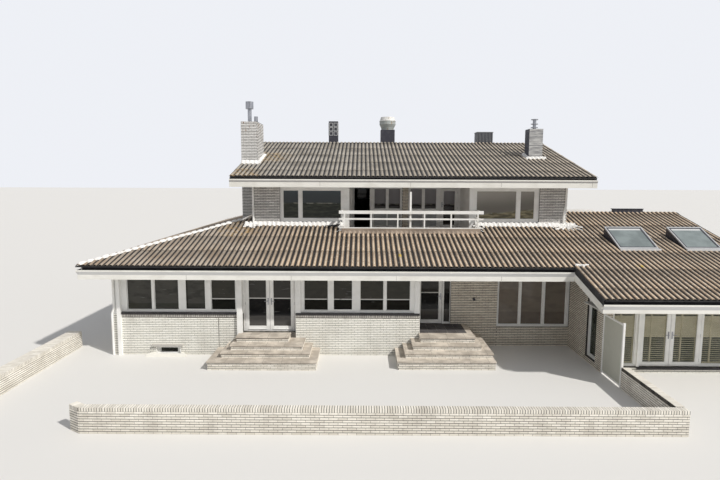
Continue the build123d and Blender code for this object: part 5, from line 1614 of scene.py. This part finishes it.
# Eaves: painted shade in the gap behind the gutters, with litter on their floors, and joints in the boards
shade_and_litter, joints = Pile(), Pile()
board_length = 3.4
for eave, eave_z, span, floor_drop, side in (
    (lower_eave, lower_eave_z, (left_eave + 0.16, wing_verge), 0.28, 1),
    (back_eave, lower_eave_z, (left_eave + 0.16, back_verge), 0.28, -1),
    (wing_eave, lower_z(wing_eave), (wing_verge + 0.05, wing_right), 0.28, 1),
    (wing_eave_back, wing_back_z(wing_eave_back), (upper_right, wing_right), 0.28, -1),
    (upper_eave, upper_eave_z, (upper_verge_left, upper_verge_right), 0.20, 1),
    (upper_eave_back, upper_eave_z, (upper_verge_left, upper_verge_right), 0.20, -1),
):
    face = front(eave) if side > 0 else back(eave)
    floor_z = eave_z - floor_drop
    # Painted shade: a near-black sheet over the board behind the gutter, and a band of litter and shade on
    # its floor
    face.box(shade_and_litter, span, (-0.119, -0.112), (floor_z + 0.018, eave_z - 0.032))
    face.box(shade_and_litter, span, (-0.112, -0.050), (floor_z + 0.016, floor_z + 0.05))
    for i in range(1, int((span[1] - span[0]) / board_length) + 1):
        u = span[0] + i * board_length
        face.box(joints, (u, u + 0.005), (-0.041, -0.038), (floor_z - 0.145, floor_z))
# The same painted shade behind the gutter of the hipped end
left(left_eave).box(
    shade_and_litter, (lower_eave + 0.16, back_eave - 0.16), (-0.119, -0.112),
    (lower_eave_z - 0.262, lower_eave_z - 0.032),
)
shade_and_litter.piece("gutter_shade_and_litter", gutter_shade_and_dirt, "gutter")
joints.piece("board_joints", ledge_stone, "gutter")

# Kerb of the basement window, lamp, sill of the wing doors and the screen beside them
kerb = Pile()
outer, inner = (-7.22, -5.83), (-7.05, -6.00)
ring_low = [(outer[0], -0.41, 0), (outer[1], -0.41, 0), (inner[1], -0.15, 0), (inner[0], -0.15, 0)]
ring_high = [(x + math.copysign(0.03, -6.5 - x), y + 0.03 * (y < -0.2), 0.10) for x, y, _ in ring_low]
inner_high = [(-7.0, -0.33, 0.10), (-6.05, -0.33, 0.10), (-6.10, -0.15, 0.10), (-6.95, -0.15, 0.10)]
inner_low = [(x, y, 0.0) for x, y, _ in inner_high]
kerb.add(
    ring_low + ring_high + inner_high + inner_low,
    [(0, 1, 5, 4), (1, 2, 6, 5), (3, 0, 4, 7), (4, 5, 9, 8), (5, 6, 10, 9), (7, 4, 8, 11), (8, 9, 13, 12),
     (9, 10, 14, 13), (11, 8, 12, 15)],
    0.8,
)
kerb.piece("basement_kerb", sunny_brick, "white_brick")

block_piece(
    "basement_hood", grey_and_painted_shade_brick, "stone", [((-7.053, -5.997), (-0.243, front_face), (0.317, 0.379))],
    bevel=0.004,
)
surround = Pile()
front(front_face).rails(surround, basement_window, (-0.06, 0.010), (0.0, 0.30), 0.045)
surround.piece("basement_surround", rail_paint, "white_paint", bevel=0.003)

lamp = Pile()
lamp.tube([(4.19, y, 1.74) for y in (1.01, 0.99, 0.93, 0.91)], [0.03, 0.05, 0.05, 0.035], 20)
lamp.piece("wall_lamp", dark_metal, "dark_metal", smooth=True)
block_piece(
    "wing_sill", ledge_stone, "stone", [((8.79, wing_pier), (-1.74, wing_front), (0.13, wing_floor))],
    bevel=0.004,
)

between_posts = (screen_posts[0][1], screen_posts[1][0])
rail_x = (screen_x[0] + 0.01, screen_x[1] - 0.01)
block_piece(
    "screen_posts", white_paint, "screen",
    [(screen_x, y, (0, screen_height)) for y in screen_posts]
    + [(rail_x, between_posts, z) for z in screen_rails],
    bevel=0.004, stands_for=["wind_screen"],
)
block_piece(
    "screen_panel", screen_paint, "screen",
    [((7.69, 7.71), between_posts, (screen_rails[0][1], screen_rails[1][0]))],
)

# Materials of the solids that show
finishes = {
    sunny_joint: ("front_plinth", "front_walls", "back_walls", "right_wall", "step_bricks"),
    dark_joint: ("porch_side_walls", "loggia_back_wall"),
    party_brick: ("end_walls",),
    upper_joint: ("left_chimney", "upper_front_wall"),
    gable_joint: ("gable_walls", "upper_back_wall"),
    white_paint: (
        "lower_window_frames", "upper_window_frames", "door_frames", "front_posts", "loggia_screens",
        "loggia_side_walls", "head_beams",
    ),
    cream_paint: ("lower_gutters", "upper_gutters", "verge_boards"),
    rail_paint: ("balcony_rails", "downpipes"),
    parapet_coat: ("balcony_walls", "balcony_deck"),
    soffit_boards: ("soffits",),
    under_roof: (
        "lower_roof_front", "lower_roof_left", "lower_roof_back", "wing_roof_front", "wing_roof_back",
        "upper_roof_front", "upper_roof_back",
    ),
    dark_metal: ("roof_vents", "skylight_kerbs"),
    ledge_stone: ("window_sills",),
    step_stone: ("step_treads",),
    concrete: ("lower_floors", "inner_columns", "upper_floor"),
    steel: ("flues",),
    cowl: ("drum_cowl",),
    cladding: ("right_chimney",),
}
for material, names in finishes.items():
    for name in names:
        for spot in nodes[name].material_slots:
            spot.material = material


# Floor, light and camera


def pale_floor():
    """A plain pale floor that keeps the object's shadow."""
    bpy.ops.mesh.primitive_plane_add(size=600)
    floor = bpy.context.object
    floor.name = "floor"
    look = Look("floor", 0.9)
    floor.data.materials.append(look.done((0.74, 0.73, 0.71)))


def pale_world(shown, light):
    """A pale surround to the camera and in reflections, and a plain level of light on the object."""
    world = bpy.data.worlds.new("surround")
    bpy.context.scene.world = world
    world.use_nodes = True
    tree = world.node_tree
    background = tree.nodes["Background"]
    background.inputs["Color"].default_value = (0.93, 0.95, 1.0, 1)
    path = tree.nodes.new("ShaderNodeLightPath")
    seen = path.outputs["Is Camera Ray"]
    for name in ("Is Glossy Ray", "Is Transmission Ray"):
        either = tree.nodes.new("ShaderNodeMath")
        either.operation = "MAXIMUM"
        tree.links.new(seen, either.inputs[0])
        tree.links.new(path.outputs[name], either.inputs[1])
        seen = either.outputs[0]
    strength = tree.nodes.new("ShaderNodeMapRange")
    tree.links.new(seen, strength.inputs["Value"])
    strength.inputs["To Min"].default_value = light
    strength.inputs["To Max"].default_value = shown
    tree.links.new(strength.outputs[0], background.inputs["Strength"])


def sun(name, strength, height, side, softness):
    """A distant soft lamp: height above the horizon, and side to the right of the front, in degrees."""
    lamp = bpy.data.lights.new(name, "SUN")
    lamp.energy = strength
    lamp.angle = math.radians(softness)
    lamp.color = (1.0, 0.97, 0.92)
    placed = bpy.data.objects.new(name, lamp)
    placed.rotation_euler = (math.radians(90 - height), 0, math.radians(side))
    bpy.context.scene.collection.objects.link(placed)


def photo_camera():
    """The camera at the photograph's place and angle."""
    lens = bpy.data.cameras.new("camera")
    lens.lens = camera_lens
    lens.sensor_width = 36
    lens.clip_end = 1000
    camera = bpy.data.objects.new("camera", lens)
    camera.location = camera_place
    camera.rotation_euler = (math.pi / 2 - camera_down, camera_roll, camera_left)
    bpy.context.scene.collection.objects.link(camera)
    bpy.context.scene.camera = camera


pale_floor()
pale_world(0.92, 0.42)
sun("key", 3.15, 43, 54, 2)
photo_camera()
bpy.context.scene.view_settings.view_transform = "Standard"
